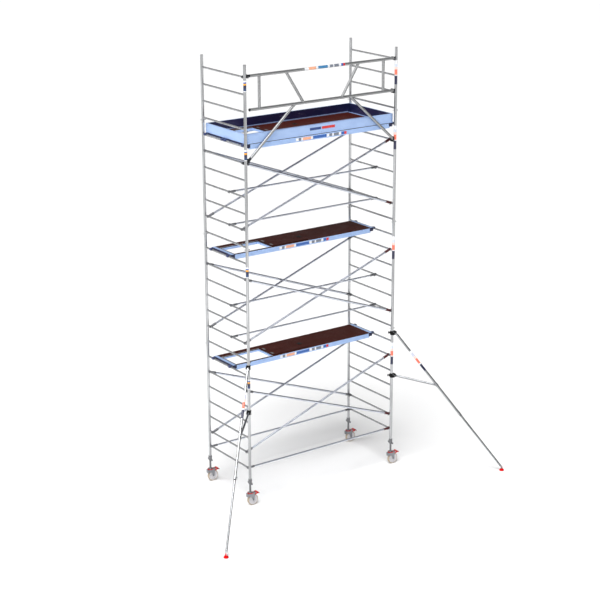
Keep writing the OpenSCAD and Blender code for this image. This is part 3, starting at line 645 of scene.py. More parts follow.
def scatter(name, spots, tool, finish, body, slot, **sizes):
    """Geometry Nodes piece: one small shape, built in the tree, at each (place, direction)."""
    mesh = bpy.data.meshes.new(name)
    mesh.from_pydata([place[:] for place, _ in spots], [], [])
    facing = mesh.attributes.new("facing", "FLOAT_VECTOR", "POINT")
    facing.data.foreach_set("vector", [c for _, way in spots for c in Vector(way).normalized()])
    made = bpy.data.objects.new(name, mesh)
    bpy.context.scene.collection.objects.link(made)
    tree = bpy.data.node_groups.new(name, "GeometryNodeTree")
    face = tree.interface
    face.new_socket("Geometry", in_out="INPUT", socket_type="NodeSocketGeometry")
    face.new_socket("Geometry", in_out="OUTPUT", socket_type="NodeSocketGeometry")
    identifiers = {
        size: face.new_socket(size, in_out="INPUT", socket_type="NodeSocketFloat").identifier
        for size in sizes
    }
    graph = Graph(tree)
    given = tree.nodes.new("NodeGroupInput")
    inputs = {socket.name: Value(graph, socket) for socket in given.outputs if socket.name}
    shape = tool(graph, inputs)
    way = graph.node("GeometryNodeInputNamedAttribute", {"data_type": "FLOAT_VECTOR"},
                     {"Name": "facing"})
    turn = graph.node("FunctionNodeAlignRotationToVector", {"axis": "Z"}, {"Vector": way})
    placed = graph.node("GeometryNodeInstanceOnPoints", None,
                        {"Points": inputs["Geometry"], "Instance": shape, "Rotation": turn})
    real = graph.node("GeometryNodeRealizeInstances", None, {0: placed})
    done = graph.node("GeometryNodeSetMaterial", None,
                      {0: real, "Material": FINISHES[finish].material})
    tree.links.new(done.socket, tree.nodes.new("NodeGroupOutput").inputs[0])
    modifier = made.modifiers.new(name, "NODES")
    modifier.node_group = tree
    for size, value in sizes.items():
        modifier[identifiers[size]] = value
    evaluated = made.evaluated_get(bpy.context.evaluated_depsgraph_get())
    plain = bpy.data.meshes.new_from_object(evaluated)
    made.modifiers.clear()
    made.data = plain
    plain.name = name
    spare = plain.attributes.get("facing")
    if spare:
        plain.attributes.remove(spare)
    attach(made, body)
    return made


def rivet_tool(graph, given):
    """Low domed head."""
    ball = graph.node("GeometryNodeMeshUVSphere", None,
                      {"Segments": 12, "Rings": 6, "Radius": given["Radius"]})
    flat = graph.node("ShaderNodeCombineXYZ", None, {0: 1.0, 1: 1.0, 2: given["Rise"]})
    return graph.node("GeometryNodeTransform", None, {"Geometry": ball, "Scale": flat})


def weld_tool(graph, given):
    """Fillet ring round a tube, roughened as weld ripples are."""
    line = graph.node("GeometryNodeCurvePrimitiveCircle", None,
                      {"Resolution": 28, "Radius": given["Ring"]})
    section = graph.node("GeometryNodeCurvePrimitiveCircle", None,
                         {"Resolution": 6, "Radius": given["Bead"]})
    ring = graph.node("GeometryNodeCurveToMesh", None, {"Curve": line, "Profile Curve": section})
    place = graph.node("GeometryNodeInputPosition")
    ripple = graph.node("ShaderNodeTexNoise", None,
                        {"Vector": place, "Scale": 260.0, "Detail": 1.0}, "Color")
    centred = graph.node("ShaderNodeVectorMath", {"operation": "SUBTRACT"},
                         {0: ripple, 1: (0.5, 0.5, 0.5)})
    move = graph.node("ShaderNodeVectorMath", {"operation": "SCALE"},
                      {0: centred, "Scale": given["Ripple"]})
    return graph.node("GeometryNodeSetPosition", None, {"Geometry": ring, "Offset": move})


# ---------------------------------------------------------------- end frames


def frame_trim():
    """Weld beads of the rungs, clips of the lock pins, and collars at the frames' joints."""
    welds = []
    for side in (LEFT, RIGHT):
        for numbers in RUNGS_OF_FRAME.values():
            for number in numbers:
                for row in (FRONT, REAR):
                    y = BAY_Y + row * (HALF_WIDTH - UPRIGHT_R - 0.0005)
                    welds.append((Vector((side * HALF_BAY, y, rung_z(number))), (0, -row, 0)))
    scatter("rung_welds", welds, weld_tool, "weld", "tower", "upright_aluminium",
            Ring=RUNG_R + 0.0008, Bead=0.0026, Ripple=0.0016)
    joints = [
        Vector((side * HALF_BAY, y, rung_z(RUNGS_OF_FRAME[level][0] - 1) + FRAME_STUB))
        for side in (LEFT, RIGHT) for level in (2, 3, 4) for y in (FRONT_Y, REAR_Y)
    ]
    clips, seams = bmesh.new(), bmesh.new()
    for joint in joints:
        wire(clips, [joint + Vector((0.045, 0, 0.040)) + Vector(v) * MM for v in (
            (3, 0, 0), (9, 0, 0), (12, 4, 3), (6, 18, 10), (-16, 31, 14), (-45, 36, 12),
            (-74, 31, 8), (-94, 18, 3), (-97, 4, 0), (-92, 0, 0), (-86, 0, 0))], 0.0017)
        lathe(seams, both_halves([(0.0235, 0.0016), (0.0262, 0.0016)], [(0.0268, 0)]), UP,
              joint, 40)
    piece("lock_pin_clips", clips, "zinc", "tower")
    piece("frame_joint_collars", seams, "claw", "tower")


def wire(shape, points, radius, sides=8):
    """Round wire along points, with its ends closed."""
    rings = []
    for i, here in enumerate(points):
        ahead = points[min(i + 1, len(points) - 1)] - points[max(i - 1, 0)]
        ahead.normalize()
        side = ahead.cross(UP)
        if side.length < 0.2:
            side = ahead.cross(Vector((0, 1, 0)))
        side.normalize()
        other = side.cross(ahead)
        rings.append([
            shape.verts.new(here + radius * (side * math.cos(2 * math.pi * k / sides)
                                             + other * math.sin(2 * math.pi * k / sides)))
            for k in range(sides)
        ])
    loop_faces(shape, rings)
    shape.faces.new(list(reversed(rings[0])))
    shape.faces.new(rings[-1])
    return shape


# ---------------------------------------------------------------- castors

AXLE_AHEAD, AXLE_Z = 0.045, 0.100
WHEEL_W, CHEEK_Y = 0.048, 0.029
FORK_TOP = 0.226
PEDAL_AHEAD, PEDAL_Z = 0.083, 0.202
SPINDLE_TOP = 0.824
NUT_SEAT, NUT_LOW = 0.4697, 0.3957


def thread(shape, place, low, high, radius, depth, lead):
    """Screw thread between two heights, as rows of faces that climb one lead in each turn."""
    sides = 28
    profile = [0.0, 0.0, depth, depth]
    step = lead / len(profile)
    rows = []
    for k in range(int((high - low + lead) / step) + 1):
        ring = []
        for n in range(sides):
            z = low - lead + k * step + lead * n / sides
            inside = low <= z <= high
            r = radius - (profile[k % len(profile)] if inside else 0)
            z = min(max(z, low), high)
            angle = 2 * math.pi * n / sides
            ring.append(shape.verts.new(
                place + Vector((r * math.cos(angle), r * math.sin(angle), z))))
        rows.append(ring)
    for first, second in zip(rows, rows[1:]):
        for n in range(sides - 1):
            shape.faces.new((first[n], first[n + 1], second[n + 1], second[n]))
    shift = len(profile)
    for k in range(len(rows) - shift - 1):
        shape.faces.new((rows[k][sides - 1], rows[k + shift][0], rows[k + shift + 1][0],
                         rows[k + 1][sides - 1]))
    return shape


def spindle(corner, axis):
    """Threaded spindle with its flange, and the kingpin's head under the fork."""
    shape = bmesh.new()
    foot = Vector((axis.x, axis.y, 0))
    flange = FORK_TOP + 0.0003
    lathe(shape, [(0.008, FORK_TOP - 0.012), (0.008, flange), (0.040, flange),
                  (0.046, flange + 0.003), (0.046, flange + 0.008),
                  (0.042, flange + 0.010), (0.026, flange + 0.012),
                  (0.0175, flange + 0.022), (0.0165, flange + 0.030), (0.0165, SPINDLE_TOP),
                  (0.0140, SPINDLE_TOP + 0.002)], UP, foot)
    bolt_head(shape, foot + UP * (FORK_TOP - 0.006), -UP, 0.022, 0.008)
    thread(shape, foot, flange + 0.026, SPINDLE_TOP, 0.0178, 0.0020, 0.008)
    piece(corner + "_threaded_spindle", shape, "dark zinc", corner + "_jack",
          [corner + "_spindle"], smooth=50)


def wing_nut(corner, axis):
    """Cast nut with a cup for the upright and two wings."""
    shape = bmesh.new()
    foot = Vector((axis.x, axis.y, 0))
    seat, low = NUT_SEAT, NUT_LOW
    lathe(shape, [(0.0181, low), (0.027, low), (0.030, low + 0.004), (0.030, low + 0.040),
                  (0.0315, low + 0.046), (0.032, seat - 0.004), (0.032, seat + 0.014),
                  (0.031, seat + 0.016), (0.0255, seat + 0.016), (0.0255, seat), (0.0181, seat),
                  (0.0181, low)], UP, foot, 40)
    wing = rounded([(26, 4), (66, 0), (72, 12), (70, 30), (60, 34), (40, 24), (26, 26)], 7)
    for turn in (90, 270):
        matrix = (Matrix.Translation(foot + UP * low)
                  @ Matrix.Rotation(math.radians(turn), 4, "Z")
                  @ Matrix.Rotation(math.pi / 2, 4, "X"))
        slab(shape, mm(wing), 0.012, matrix)
    piece(corner + "_cast_wing_nut", shape, "dark zinc", corner + "_nut",
          [corner + "_wing_nut"], bevel=0.0012)


def fork(corner, axis):
    """Pressed fork: folded plate, curved cheeks with a turned rim, raceway, axle bolt and nuts."""
    shape = bmesh.new()
    foot = Vector((axis.x, axis.y, 0))
    side = rounded([(-60, 222), (93, 222), (95, 196), (72, 176), (62, 100), (45, 82), (28, 94),
                    (14, 158), (-60, 182)], 12, 5)
    for way in (-1, 1):
        place = foot + Vector((0, way * (CHEEK_Y + 0.002), 0))
        slab(shape, mm(side), 0.004, upright_plane(place))
        for x, z, across in ((AXLE_AHEAD, AXLE_Z, 0.022), (PEDAL_AHEAD, PEDAL_Z, 0.010)):
            bolt_head(shape, foot + Vector((x, way * (CHEEK_Y + 0.004), z)), (0, way, 0), across,
                      0.45 * across)
    box(shape, foot + Vector((-0.062, -CHEEK_Y - 0.004, 0.2215)),
        foot + Vector((0.095, CHEEK_Y + 0.004, FORK_TOP)))
    box(shape, foot + Vector((-0.0655, -CHEEK_Y - 0.003, 0.162)),
        foot + Vector((-0.0615, CHEEK_Y + 0.003, 0.224)))
    lathe(shape, mm([(10.5, 208.5), (30, 208.5), (36, 213), (38, 221.5), (10.5, 221.5),
                     (10.5, 208.5)]), UP, foot, 40)
    lathe(shape, [(0.0068, -CHEEK_Y), (0.0068, CHEEK_Y)], (0, 1, 0),
          foot + Vector((AXLE_AHEAD, 0, AXLE_Z)), 20)
    piece(corner + "_pressed_fork", shape, "bright zinc", corner + "_swivel",
          [corner + "_fork"], bevel=0.0009)
    ring = bmesh.new()
    lathe(ring, [(0.0463, FORK_TOP), (0.0500, FORK_TOP), (0.0510, FORK_TOP + 0.002),
                 (0.0510, FORK_TOP + 0.009), (0.0490, FORK_TOP + 0.011), (0.0463, FORK_TOP + 0.011),
                 (0.0463, FORK_TOP)], UP, foot, 48)
    piece(corner + "_dust_ring", ring, "red", corner + "_swivel")


def wheel(corner, axis):
    """Nylon wheel with a ribbed web and hub, and the tread round it."""
    hub = Vector((axis.x + AXLE_AHEAD, axis.y, AXLE_Z))
    half = WHEEL_W / 2
    shape = bmesh.new()
    lathe(shape, both_halves([
        (0.0072, half + 0.002), (0.018, half + 0.002), (0.020, half), (0.022, half - 0.010),
        (0.066, half - 0.013), (0.071, half - 0.002), (0.0735, half), (0.0835, half),
        (0.0850, half - 0.003)]), (0, 1, 0), hub, 72)
    for way in (-1, 1):
        for n in range(8):
            turn = (Matrix.Translation(hub + Vector((0, way * (half - 0.0085), 0)))
                    @ Matrix.Rotation(math.pi / 4 * n, 4, "Y")
                    @ Matrix.Rotation(math.pi / 2, 4, "X"))
            slab(shape, mm([(19.5, -3), (70.5, -2.2), (70.5, 2.2), (19.5, 3)]), 0.012, turn)
    piece(corner + "_wheel_disc", shape, "nylon", corner + "_wheel_body",
          [corner + "_wheel"], bevel=0.0006)
    tread = bmesh.new()
    lathe(tread, both_halves([
        (0.0852, half - 0.002), (0.093, half - 0.001), (0.0975, half - 0.004),
        (0.0998, half - 0.010)], [(0.1000, 0)]), (0, 1, 0), hub, 96)
    piece(corner + "_tread", tread, "tyre", corner + "_wheel_body")


def brake(corner, axis):
    """Red foot pedal: an arched tread with grip ribs between two side arms."""
    shape = bmesh.new()
    pivot = Vector((axis.x + PEDAL_AHEAD, axis.y, PEDAL_Z))
    arm_y = CHEEK_Y + 0.004 + 0.001
    side = rounded([(-9, -8), (6, -9), (44, -2), (62, 4), (80, -9), (81, -4), (72, 12), (54, 26),
                    (34, 26), (-6, 9)], 6, 4)
    for way in (-1, 1):
        place = pivot + Vector((0, way * (arm_y + 0.0025), 0))
        slab(shape, mm(side), 0.005, upright_plane(place))
    tread = rounded([(26, 14), (34, 26.5), (55, 26), (76, 12), (82, -5), (75, -9.5), (58, 2),
                     (46, 12)], 4, 3)
    slab(shape, mm(tread), 2 * (arm_y + 0.005), upright_plane(pivot))
    lathe(shape, [(0.0034, -arm_y - 0.004), (0.0034, arm_y + 0.004)], (0, 1, 0), pivot, 16)
    for x, z in ((58, 22.3), (63, 18.6), (68, 14.5), (73, 9.0), (76, 2.5)):
        lathe(shape, [(0.0011, -arm_y), (0.0011, arm_y)], (0, 1, 0),
              pivot + Vector((x, 0, z)) * MM, 8)
    piece(corner + "_pedal", shape, "red", corner + "_brake",
          [corner + "_brake_pedal"], bevel=0.0009)


# ---------------------------------------------------------------- braces' claws and latches

CLAW_R, CLAW_BORE, CLAW_W = 0.025, 0.0165, 0.034
DIAGONAL_R, RAIL_R = 0.019, 0.016
SOCKET_WALL, SOCKET_START, SOCKET_END, TUBE_START = 0.004, 0.032, 0.118, 0.062
OUTER_Y = HALF_WIDTH - UPRIGHT_R - DIAGONAL_R - SOCKET_WALL - 0.005
INNER_Y = OUTER_Y - 2 * DIAGONAL_R - 0.006
DECK_WIDTH = HALF_WIDTH - UPRIGHT_R - 0.012
SINGLE_DECK_Y = HALF_WIDTH - UPRIGHT_R - 0.115 - DECK_WIDTH / 2
GUARD_Y = SINGLE_DECK_Y - DECK_WIDTH / 2 - 0.014 - RAIL_R


def braces():
    """Every brace as (left rung, right rung, y from the bay's middle, tube radius)."""
    found = []
    for low, high, step_in in ((1, 5, 0.0), (8, 12, 0.0), (15, 19, CLAW_W + 0.004)):
        for row in (FRONT, REAR):
            back = step_in if row == FRONT else 0.0
            found.append((low, high, row * (INNER_Y - back), DIAGONAL_R))
            found.append((high, low, row * (OUTER_Y - back), DIAGONAL_R))
    found += [(0, 0, row * OUTER_Y, RAIL_R) for row in (FRONT, REAR)]
    found += [(rung, rung, GUARD_Y, RAIL_R) for rung in (8, 10, 15, 17)]
    return found


def claw(shape, here, aim, tube_r):
    """Cast hook with two cheek ribs, a web and a riveted socket for the tube."""
    flat = upright_plane(here)
    slab(shape, arc(CLAW_R, -32, 212, 22) + arc(CLAW_BORE, 212, -32, 22), CLAW_W - 0.006, flat)
    for way in (-1, 1):
        rim = Matrix.Translation((0, way * (CLAW_W / 2 - 0.0025), 0)) @ flat
        slab(shape, arc(CLAW_R - 0.0002, -20, 200, 20) + arc(CLAW_BORE + 0.003, 200, -20, 20),
             0.005, rim)
    turn = flat @ Matrix.Rotation(math.atan2(aim.z, aim.x), 4, "Z")
    slab(shape, rounded(mm([(17.5, -11), (44, -16.5), (44, 16.5), (17.5, 11)]),
                        0.003, 2), 0.017, turn)
    slab(shape, rounded(mm([(18, -14), (40, -18), (40, 18), (18, 14)]), 0.003, 2), 0.006, turn)
    outer, inner = tube_r + SOCKET_WALL, tube_r + 0.0002
    lathe(shape, [(0.004, SOCKET_START), (outer - 0.005, SOCKET_START),
                  (outer - 0.001, SOCKET_START + 0.004), (outer, SOCKET_START + 0.009),
                  (outer - 0.0005, SOCKET_END - 0.012), (outer, SOCKET_END - 0.010),
                  (outer, SOCKET_END - 0.001), (outer - 0.001, SOCKET_END), (inner, SOCKET_END),
                  (inner, TUBE_START - 0.001), (0.004, TUBE_START - 0.001),
                  (0.004, SOCKET_START)], aim, here, 32)
    for along in (0.074, 0.100):
        for way in (-1, 1):
            lathe(shape, [(0.0042, outer - 0.0008), (0.0040, outer + 0.0008),
                          (0.0026, outer + 0.0017)], (0, way, 0), here + aim * along, 14)


def latch(shape, here, side):
    """Sprung latch under the rung, with a finger tab that points into the bay."""
    flat = upright_plane(here)
    slab(shape, arc(CLAW_R - 0.0012, -134, -46, 12) + arc(CLAW_BORE + 0.0008, -46, -134, 12),
         0.018, flat)
    tab = [(-side * x, z) for x, z in (
        (0.013, -0.0165), (0.020, -0.0185), (0.030, -0.026), (0.029, -0.029), (0.018, -0.0235),
        (0.011, -0.0215))]
    slab(shape, tab, 0.013, flat)


def claws():
    """Claws and latches at both ends of every brace and rail."""
    plain, right_front, latches = bmesh.new(), bmesh.new(), bmesh.new()
    for left, right, y, tube_r in braces():
        ends = {LEFT: Vector((-HALF_BAY, BAY_Y + y, rung_z(left))),
                RIGHT: Vector((HALF_BAY, BAY_Y + y, rung_z(right)))}
        for side, here in ends.items():
            aim = (ends[-side] - here).normalized()
            maroon = side == RIGHT and y < GUARD_Y - 0.01
            claw(right_front if maroon else plain, here, aim, tube_r)
            latch(latches, here, side)
    piece("cast_claws", plain, "claw", "tower", ["brace_claws"], bevel=0.0012)
    piece("right_front_claws", right_front, "maroon claw", "tower", bevel=0.0012)
    piece("sprung_latches", latches, "latch", "tower", ["claw_latches"], bevel=0.001)


# ---------------------------------------------------------------- decks and platform

BOARD_T, END_BEAM, DECK_RISE = 0.010, 0.060, 0.030
DECK_HALF = HALF_BAY - RUNG_R - 0.019
BOARD_HALF = DECK_HALF - END_BEAM
HATCH_L, HATCH_W, HATCH_REAR = 0.760, 0.430, 0.140
HATCH_X = -BOARD_HALF + 0.025
HINGE_X = HATCH_X + HATCH_L
UPPER_DECK_Y = (DECK_WIDTH + 0.008) / 2
TOP_DECK_RUNG = 20
# each deck's rung, its middle in Y from the bay's middle, and whether it has a hatch
DECKS = {
    "lower": (6, SINGLE_DECK_Y, True), "middle": (13, SINGLE_DECK_Y, True),
    "upper_front": (TOP_DECK_RUNG, -UPPER_DECK_Y, False),
    "upper_rear": (TOP_DECK_RUNG, UPPER_DECK_Y, True),
}
TOE_H = 0.156


def hatch_middle(deck_y):
    """The hatch's middle in Y, on the deck whose own middle lies so far from the bay's."""
    return BAY_Y + deck_y + DECK_WIDTH / 2 - HATCH_REAR - HATCH_W / 2


def in_hatch(x, y, deck_y, margin=0.02):
    """Whether a spot lies in the hatch's opening or under the lid that is folded back."""
    inside = abs(y - hatch_middle(deck_y)) < HATCH_W / 2 + margin
    return inside and HATCH_X - margin < x < HINGE_X + HATCH_L + margin


def deck_fasteners():
    """Screws that hold the boards, and the rivets of beams, toe boards and brackets."""
    screws, rivets = [], []
    for rung, deck_y, hatch in DECKS.values():
        top = rung_z(rung) + DECK_RISE
        for row in (FRONT, REAR):
            y = BAY_Y + deck_y + row * (DECK_WIDTH / 2 - 0.013)
            for k in range(13):
                x = -BOARD_HALF + 0.05 + k * (2 * BOARD_HALF - 0.10) / 12
                screws.append((Vector((x, y, top)), UP))
            face = BAY_Y + deck_y + row * DECK_WIDTH / 2
            for side in (LEFT, RIGHT):
                for x in (0.030, 0.075, 0.120):
                    for down in (0.028, 0.072):
                        rivets.append((Vector((side * (BOARD_HALF - x), face, top - down)),
                                       (0, row, 0)))
        for x in (0.0, BOARD_HALF / 2, BOARD_HALF - 0.03, 0.03 - BOARD_HALF):
            for k in range(1, 6):
                y = BAY_Y + deck_y - DECK_WIDTH / 2 + k * DECK_WIDTH / 6
                if not (hatch and in_hatch(x, y, deck_y)):
                    screws.append((Vector((x, y, top)), UP))
    low = rung_z(TOP_DECK_RUNG) + DECK_RISE
    for row in (FRONT, REAR):
        for k in range(7):
            x = (k - 3) * 0.46
            rivets.append((Vector((x, BAY_Y + row * TOE_FRONT_Y, low + 0.024)), (0, row, 0)))
        for side in (LEFT, RIGHT):
            for up in (0.030, 0.078, 0.126):
                rivets.append((Vector((side * (DECK_HALF - 0.045), BAY_Y + row * TOE_FRONT_Y,
                                       low + up)), (0, row, 0)))
                rivets.append((Vector((side * DECK_HALF, BAY_Y + row * (TOE_FRONT_Y - 0.045),
                                       low + up)), (side, 0, 0)))
    scatter("board_screws", screws, rivet_tool, "zinc", "tower", "zinc_steel",
            Radius=0.0045, Rise=0.22)
    scatter("profile_rivets", rivets, rivet_tool, "zinc", "tower", "zinc_steel",
            Radius=0.0042, Rise=0.38)


def deck_trim():
    """Edge strips of the decks, rims of the hatches, corners, and bolts of the hooks."""
    strips, corners, hooks, rims, grooves = (bmesh.new() for _ in range(5))
    for name, (rung, deck_y, hatch) in DECKS.items():
        top = rung_z(rung) + DECK_RISE
        for row in (FRONT, REAR):
            edge = BAY_Y + deck_y + row * (DECK_WIDTH / 2 - 0.0005)
            if name.startswith("upper") and row * deck_y < 0:
                box(strips, (-BOARD_HALF + 0.001, edge, top + 0.0001),
                    (BOARD_HALF - 0.001, edge - row * 0.020,
                     top + (0.014 if deck_y > 0 else 0.0013)))
            for side in (LEFT, RIGHT):
                y = BAY_Y + deck_y + row * (DECK_WIDTH / 2 - 0.039)
                for way in (-1, 1):
                    place = Vector((side * (HALF_BAY - 0.026), y + way * 0.025,
                                    rung_z(rung) + 0.014))
                    bolt_head(hooks, place, (0, way, 0), 0.013, 0.006)
                # plastic shoe round each corner of the deck frame
                out = BAY_Y + deck_y + row * DECK_WIDTH / 2
                if not name.startswith("upper") or row * deck_y > 0:
                    box(corners, (side * (BOARD_HALF - 0.016), out - row * 0.030, top - 0.066),
                        (side * (DECK_HALF - 0.001), out + row * 0.0022, top - 0.004))
        if hatch:
            middle = hatch_middle(deck_y)
            low, high = middle - HATCH_W / 2, middle + HATCH_W / 2
            for y, way in ((low, -1), (high, 1)):
                box(rims, (HATCH_X - 0.013, y + way * 0.0005, top + 0.0001),
                    (HINGE_X - 0.002, y + way * 0.013, top + 0.0016))
            box(rims, (HATCH_X - 0.013, low - 0.0004, top + 0.0001),
                (HATCH_X - 0.0005, high + 0.0004, top + 0.0016))
    piece("deck_edge_strips", strips, "plain blue", "tower", bevel=0.0004)
    piece("deck_corner_shoes", corners, "bracket", "tower", bevel=0.003)
    piece("deck_hook_bolts", hooks, "zinc", "tower", bevel=0.0005)
    piece("hatch_rims", rims, "guard plain", "tower", bevel=0.0004)
    base = rung_z(TOP_DECK_RUNG) + DECK_RISE + 0.0003
    inner_y = BAY_Y + TOE_FRONT_Y - 0.0222
    box(grooves, (-TOE_END_X + 0.060, inner_y - 0.008, base),
        (TOE_END_X - 0.060, inner_y, base + 0.016))
    for up in (0.010, TOE_H - 0.012):
        for row in (FRONT, REAR):
            y = BAY_Y + row * TOE_FRONT_Y
            box(grooves, (-TOE_END_X + 0.023, y - row * 0.001, base + up - 0.004),
                (TOE_END_X - 0.023, y + row * 0.0014, base + up + 0.004))
        for side in (LEFT, RIGHT):
            box(grooves, (side * (TOE_END_X - 0.001), BAY_Y - TOE_FRONT_Y + 0.001,
                          base + up - 0.004),
                (side * (TOE_END_X + 0.0014), BAY_Y + TOE_FRONT_Y - 0.001, base + up + 0.004))
    piece("toe_board_beads", grooves, "plain blue", "tower", bevel=0.0009)


def lid_trim(level, body, rung, deck_y):
    """Catch, finger grip and hinge leaves of a hatch lid, as it lies folded back."""
    top = rung_z(rung) + DECK_RISE + 0.0002 + BOARD_T - 0.0004
    middle = hatch_middle(deck_y)
    end = HINGE_X + HATCH_L - 0.003
    catch = bmesh.new()
    slab(catch, rounded([(end - 0.085, middle - 0.045), (end - 0.012, middle - 0.045),
                         (end - 0.012, middle + 0.045), (end - 0.085, middle + 0.045)], 0.012),
         0.0035, Matrix.Translation(UP * (top + 0.0018)))
    lathe(catch, mm([(19, 3.4), (19, 5.8), (16, 6.4), (13, 4.5), (4, 4.5)]),
          UP, (end - 0.05, middle, top), 32)
    piece(level + "_lid_catch", catch, "black", body, bevel=0.0006)
    strips = bmesh.new()
    for spot in (-1, 1):
        y = middle + spot * HATCH_W * 0.3
        box(strips, (HINGE_X + 0.0235, y - 0.040, top + 0.0001),
            (HINGE_X + 0.062, y + 0.040, top + 0.0022))
        for x in (0.033, 0.052):
            for way in (-0.026, 0, 0.026):
                lathe(strips, mm([(3.6, 2), (3.2, 3.2), (2, 3.7)]), UP,
                      (HINGE_X + x, y + way, top), 12)
    piece(level + "_lid_hinge_leaves", strips, "zinc", body, bevel=0.0003)


GUARD_RUNG, GUARD_H, GUARD_R = 24, 0.545, 0.024
GUARD_TOP = rung_z(GUARD_RUNG) + 0.015


def guard_trim():
    """Weld beads of the guardrail frame, and the bolts of its claws."""
    top, low, rail = GUARD_TOP, GUARD_TOP - GUARD_H, GUARD_R
    spots, slanted = [], []
    for side in (LEFT, RIGHT):
        x = side * (HALF_BAY - 0.275)
        spots += [(Vector((x, FRONT_Y, z)), UP) for z in (low + rail, top - rail)]
        a = Vector((side * 0.390, FRONT_Y, low))
        b = Vector((side * 0.740, FRONT_Y, top))
        way = (b - a).normalized()
        slanted += [(a + way * rail / way.z, way), (b - way * rail / way.z, way)]
        a = Vector((side * 0.560, FRONT_Y, low))
        b = Vector((side * HALF_BAY, FRONT_Y, rung_z(19) - 0.006))
        way = (b - a).normalized()
        slanted += [(a + way * rail / abs(way.z), way)]
    scatter("guard_post_welds", spots, weld_tool, "weld", "tower", "guard_aluminium",
            Ring=rail + 0.0004, Bead=0.0028, Ripple=0.0016)
    scatter("guard_brace_welds", slanted, weld_tool, "weld", "tower", "guard_aluminium",
            Ring=rail - 0.0006, Bead=0.0028, Ripple=0.0016)
    bolts = bmesh.new()
    for side, rung in ((LEFT, GUARD_RUNG), (RIGHT, GUARD_RUNG), (LEFT, 19), (RIGHT, 19),
                       (RIGHT, 22)):
        for x in (0.052, 0.040):
            place = Vector((side * (HALF_BAY - x), FRONT_Y - 0.024, rung_z(rung) + 0.004))
            bolt_head(bolts, place, (0, -1, 0), 0.010, 0.005)
    piece("guard_claw_bolts", bolts, "zinc", "tower", bevel=0.0004)


# ---------------------------------------------------------------- stabilisers


# how far down the leg's line the main tube ends, and the stay meets it
ARM_SHARE, STAY_SHARE = 0.6, 0.385


def outward_plane(out, across, place):
    """Matrix whose X points outward and whose Y points up, at a place."""
    return Matrix((
        (out.x, 0, across.x, place.x), (out.y, 0, across.y, place.y), (0, 1, 0, place.z),
        (0, 0, 0, 1)))


def clamp_trim(black, steel, middle, out, across):
    """Knob, cheeks, collars and bolts of the clamp whose bore has this middle."""
    stem = middle - out * 0.049
    lathe(black, mm([(6, 0), (6, 8), (15, 9), (17, 11), (17, 21), (15, 24), (6, 25)]),
          -out, stem, 32)
    grip_profile = mm([(6.5, 10), (7.5, 11.5), (7.5, 20.5), (6, 22.5)])
    for turn in range(4):
        grip = out.cross(UP)
        grip.rotate(Matrix.Rotation(math.pi / 4 + turn * math.pi / 2, 3, out))
        lathe(black, grip_profile, -out, stem + grip * 0.016, 16)
    facing = outward_plane(out, across, middle)
    cheek = rounded(mm([(2, -35), (34, -37), (62, -26), (80, -10), (80, 10), (62, 26), (34, 37),
                        (2, 35)]), 0.012)
    for way in (-1, 1):
        slab(black, cheek, 0.006, facing @ Matrix.Translation(UP * way * 0.0310))
    lathe(black, mm([(25.4, -38), (32.5, -38), (35, -35), (35.2, -26.5), (34.2, -26.2),
                     (25.4, -26.2), (25.4, -38)]), UP, middle, 48)
    lathe(black, mm([(25.4, 26.2), (34.2, 26.2), (35.2, 26.5), (35, 35), (32.5, 38), (25.4, 38),
                     (25.4, 26.2)]), UP, middle, 48)
    bead = mm([(34.5, -2.5), (35.6, -1.5), (35.6, 1.5), (34.5, 2.5), (33.5, 2.5), (33.5, -2.5),
               (34.5, -2.5)])
    for way in (-1, 1):
        lathe(black, bead, UP, middle + UP * way * 0.0235, 40)
        lug = middle + across * way * 0.034
        bolt_head(steel, lug + out * CLAMP_LUG, across * way, 0.017, 0.0055)
        bolt_head(steel, lug + out * 0.034 + UP * 0.021, across * way, 0.011, 0.0045)


def rubber_foot(name, ground, out, across):
    """Ribbed rubber pad with the lug that the leg's fork holds."""
    pad = bmesh.new()
    lathe(pad, mm([(4, 0.5), (40, 0.2), (42, 2), (42, 5.5), (40.5, 6.5), (40.5, 8), (42, 9),
                   (42, 12.5), (39.5, 16), (36, 22.5), (33.5, 25.8), (4, 26.2)]), UP, ground, 64)
    lug = [(-0.0145, 0.020), (0.0145, 0.020), (0.014, FOOT_PIVOT_Z)]
    lug += [(x, FOOT_PIVOT_Z + z) for x, z in arc(0.014, 4, 176, 14)[1:-1]]
    lug += [(-0.014, FOOT_PIVOT_Z)]
    gusset = mm([(-30, 24), (30, 24), (20, 37), (-20, 37)])
    turn = outward_plane(out, across, ground)
    slab(pad, lug, 0.022, turn)
    for way in (-1, 1):
        slab(pad, gusset, 0.005, Matrix.Translation(across * way * 0.0135) @ turn)
    piece(name + "_rubber_foot", pad, "foot", name + "_foot",
          [name + "_stabiliser_foot"], bevel=0.0008)


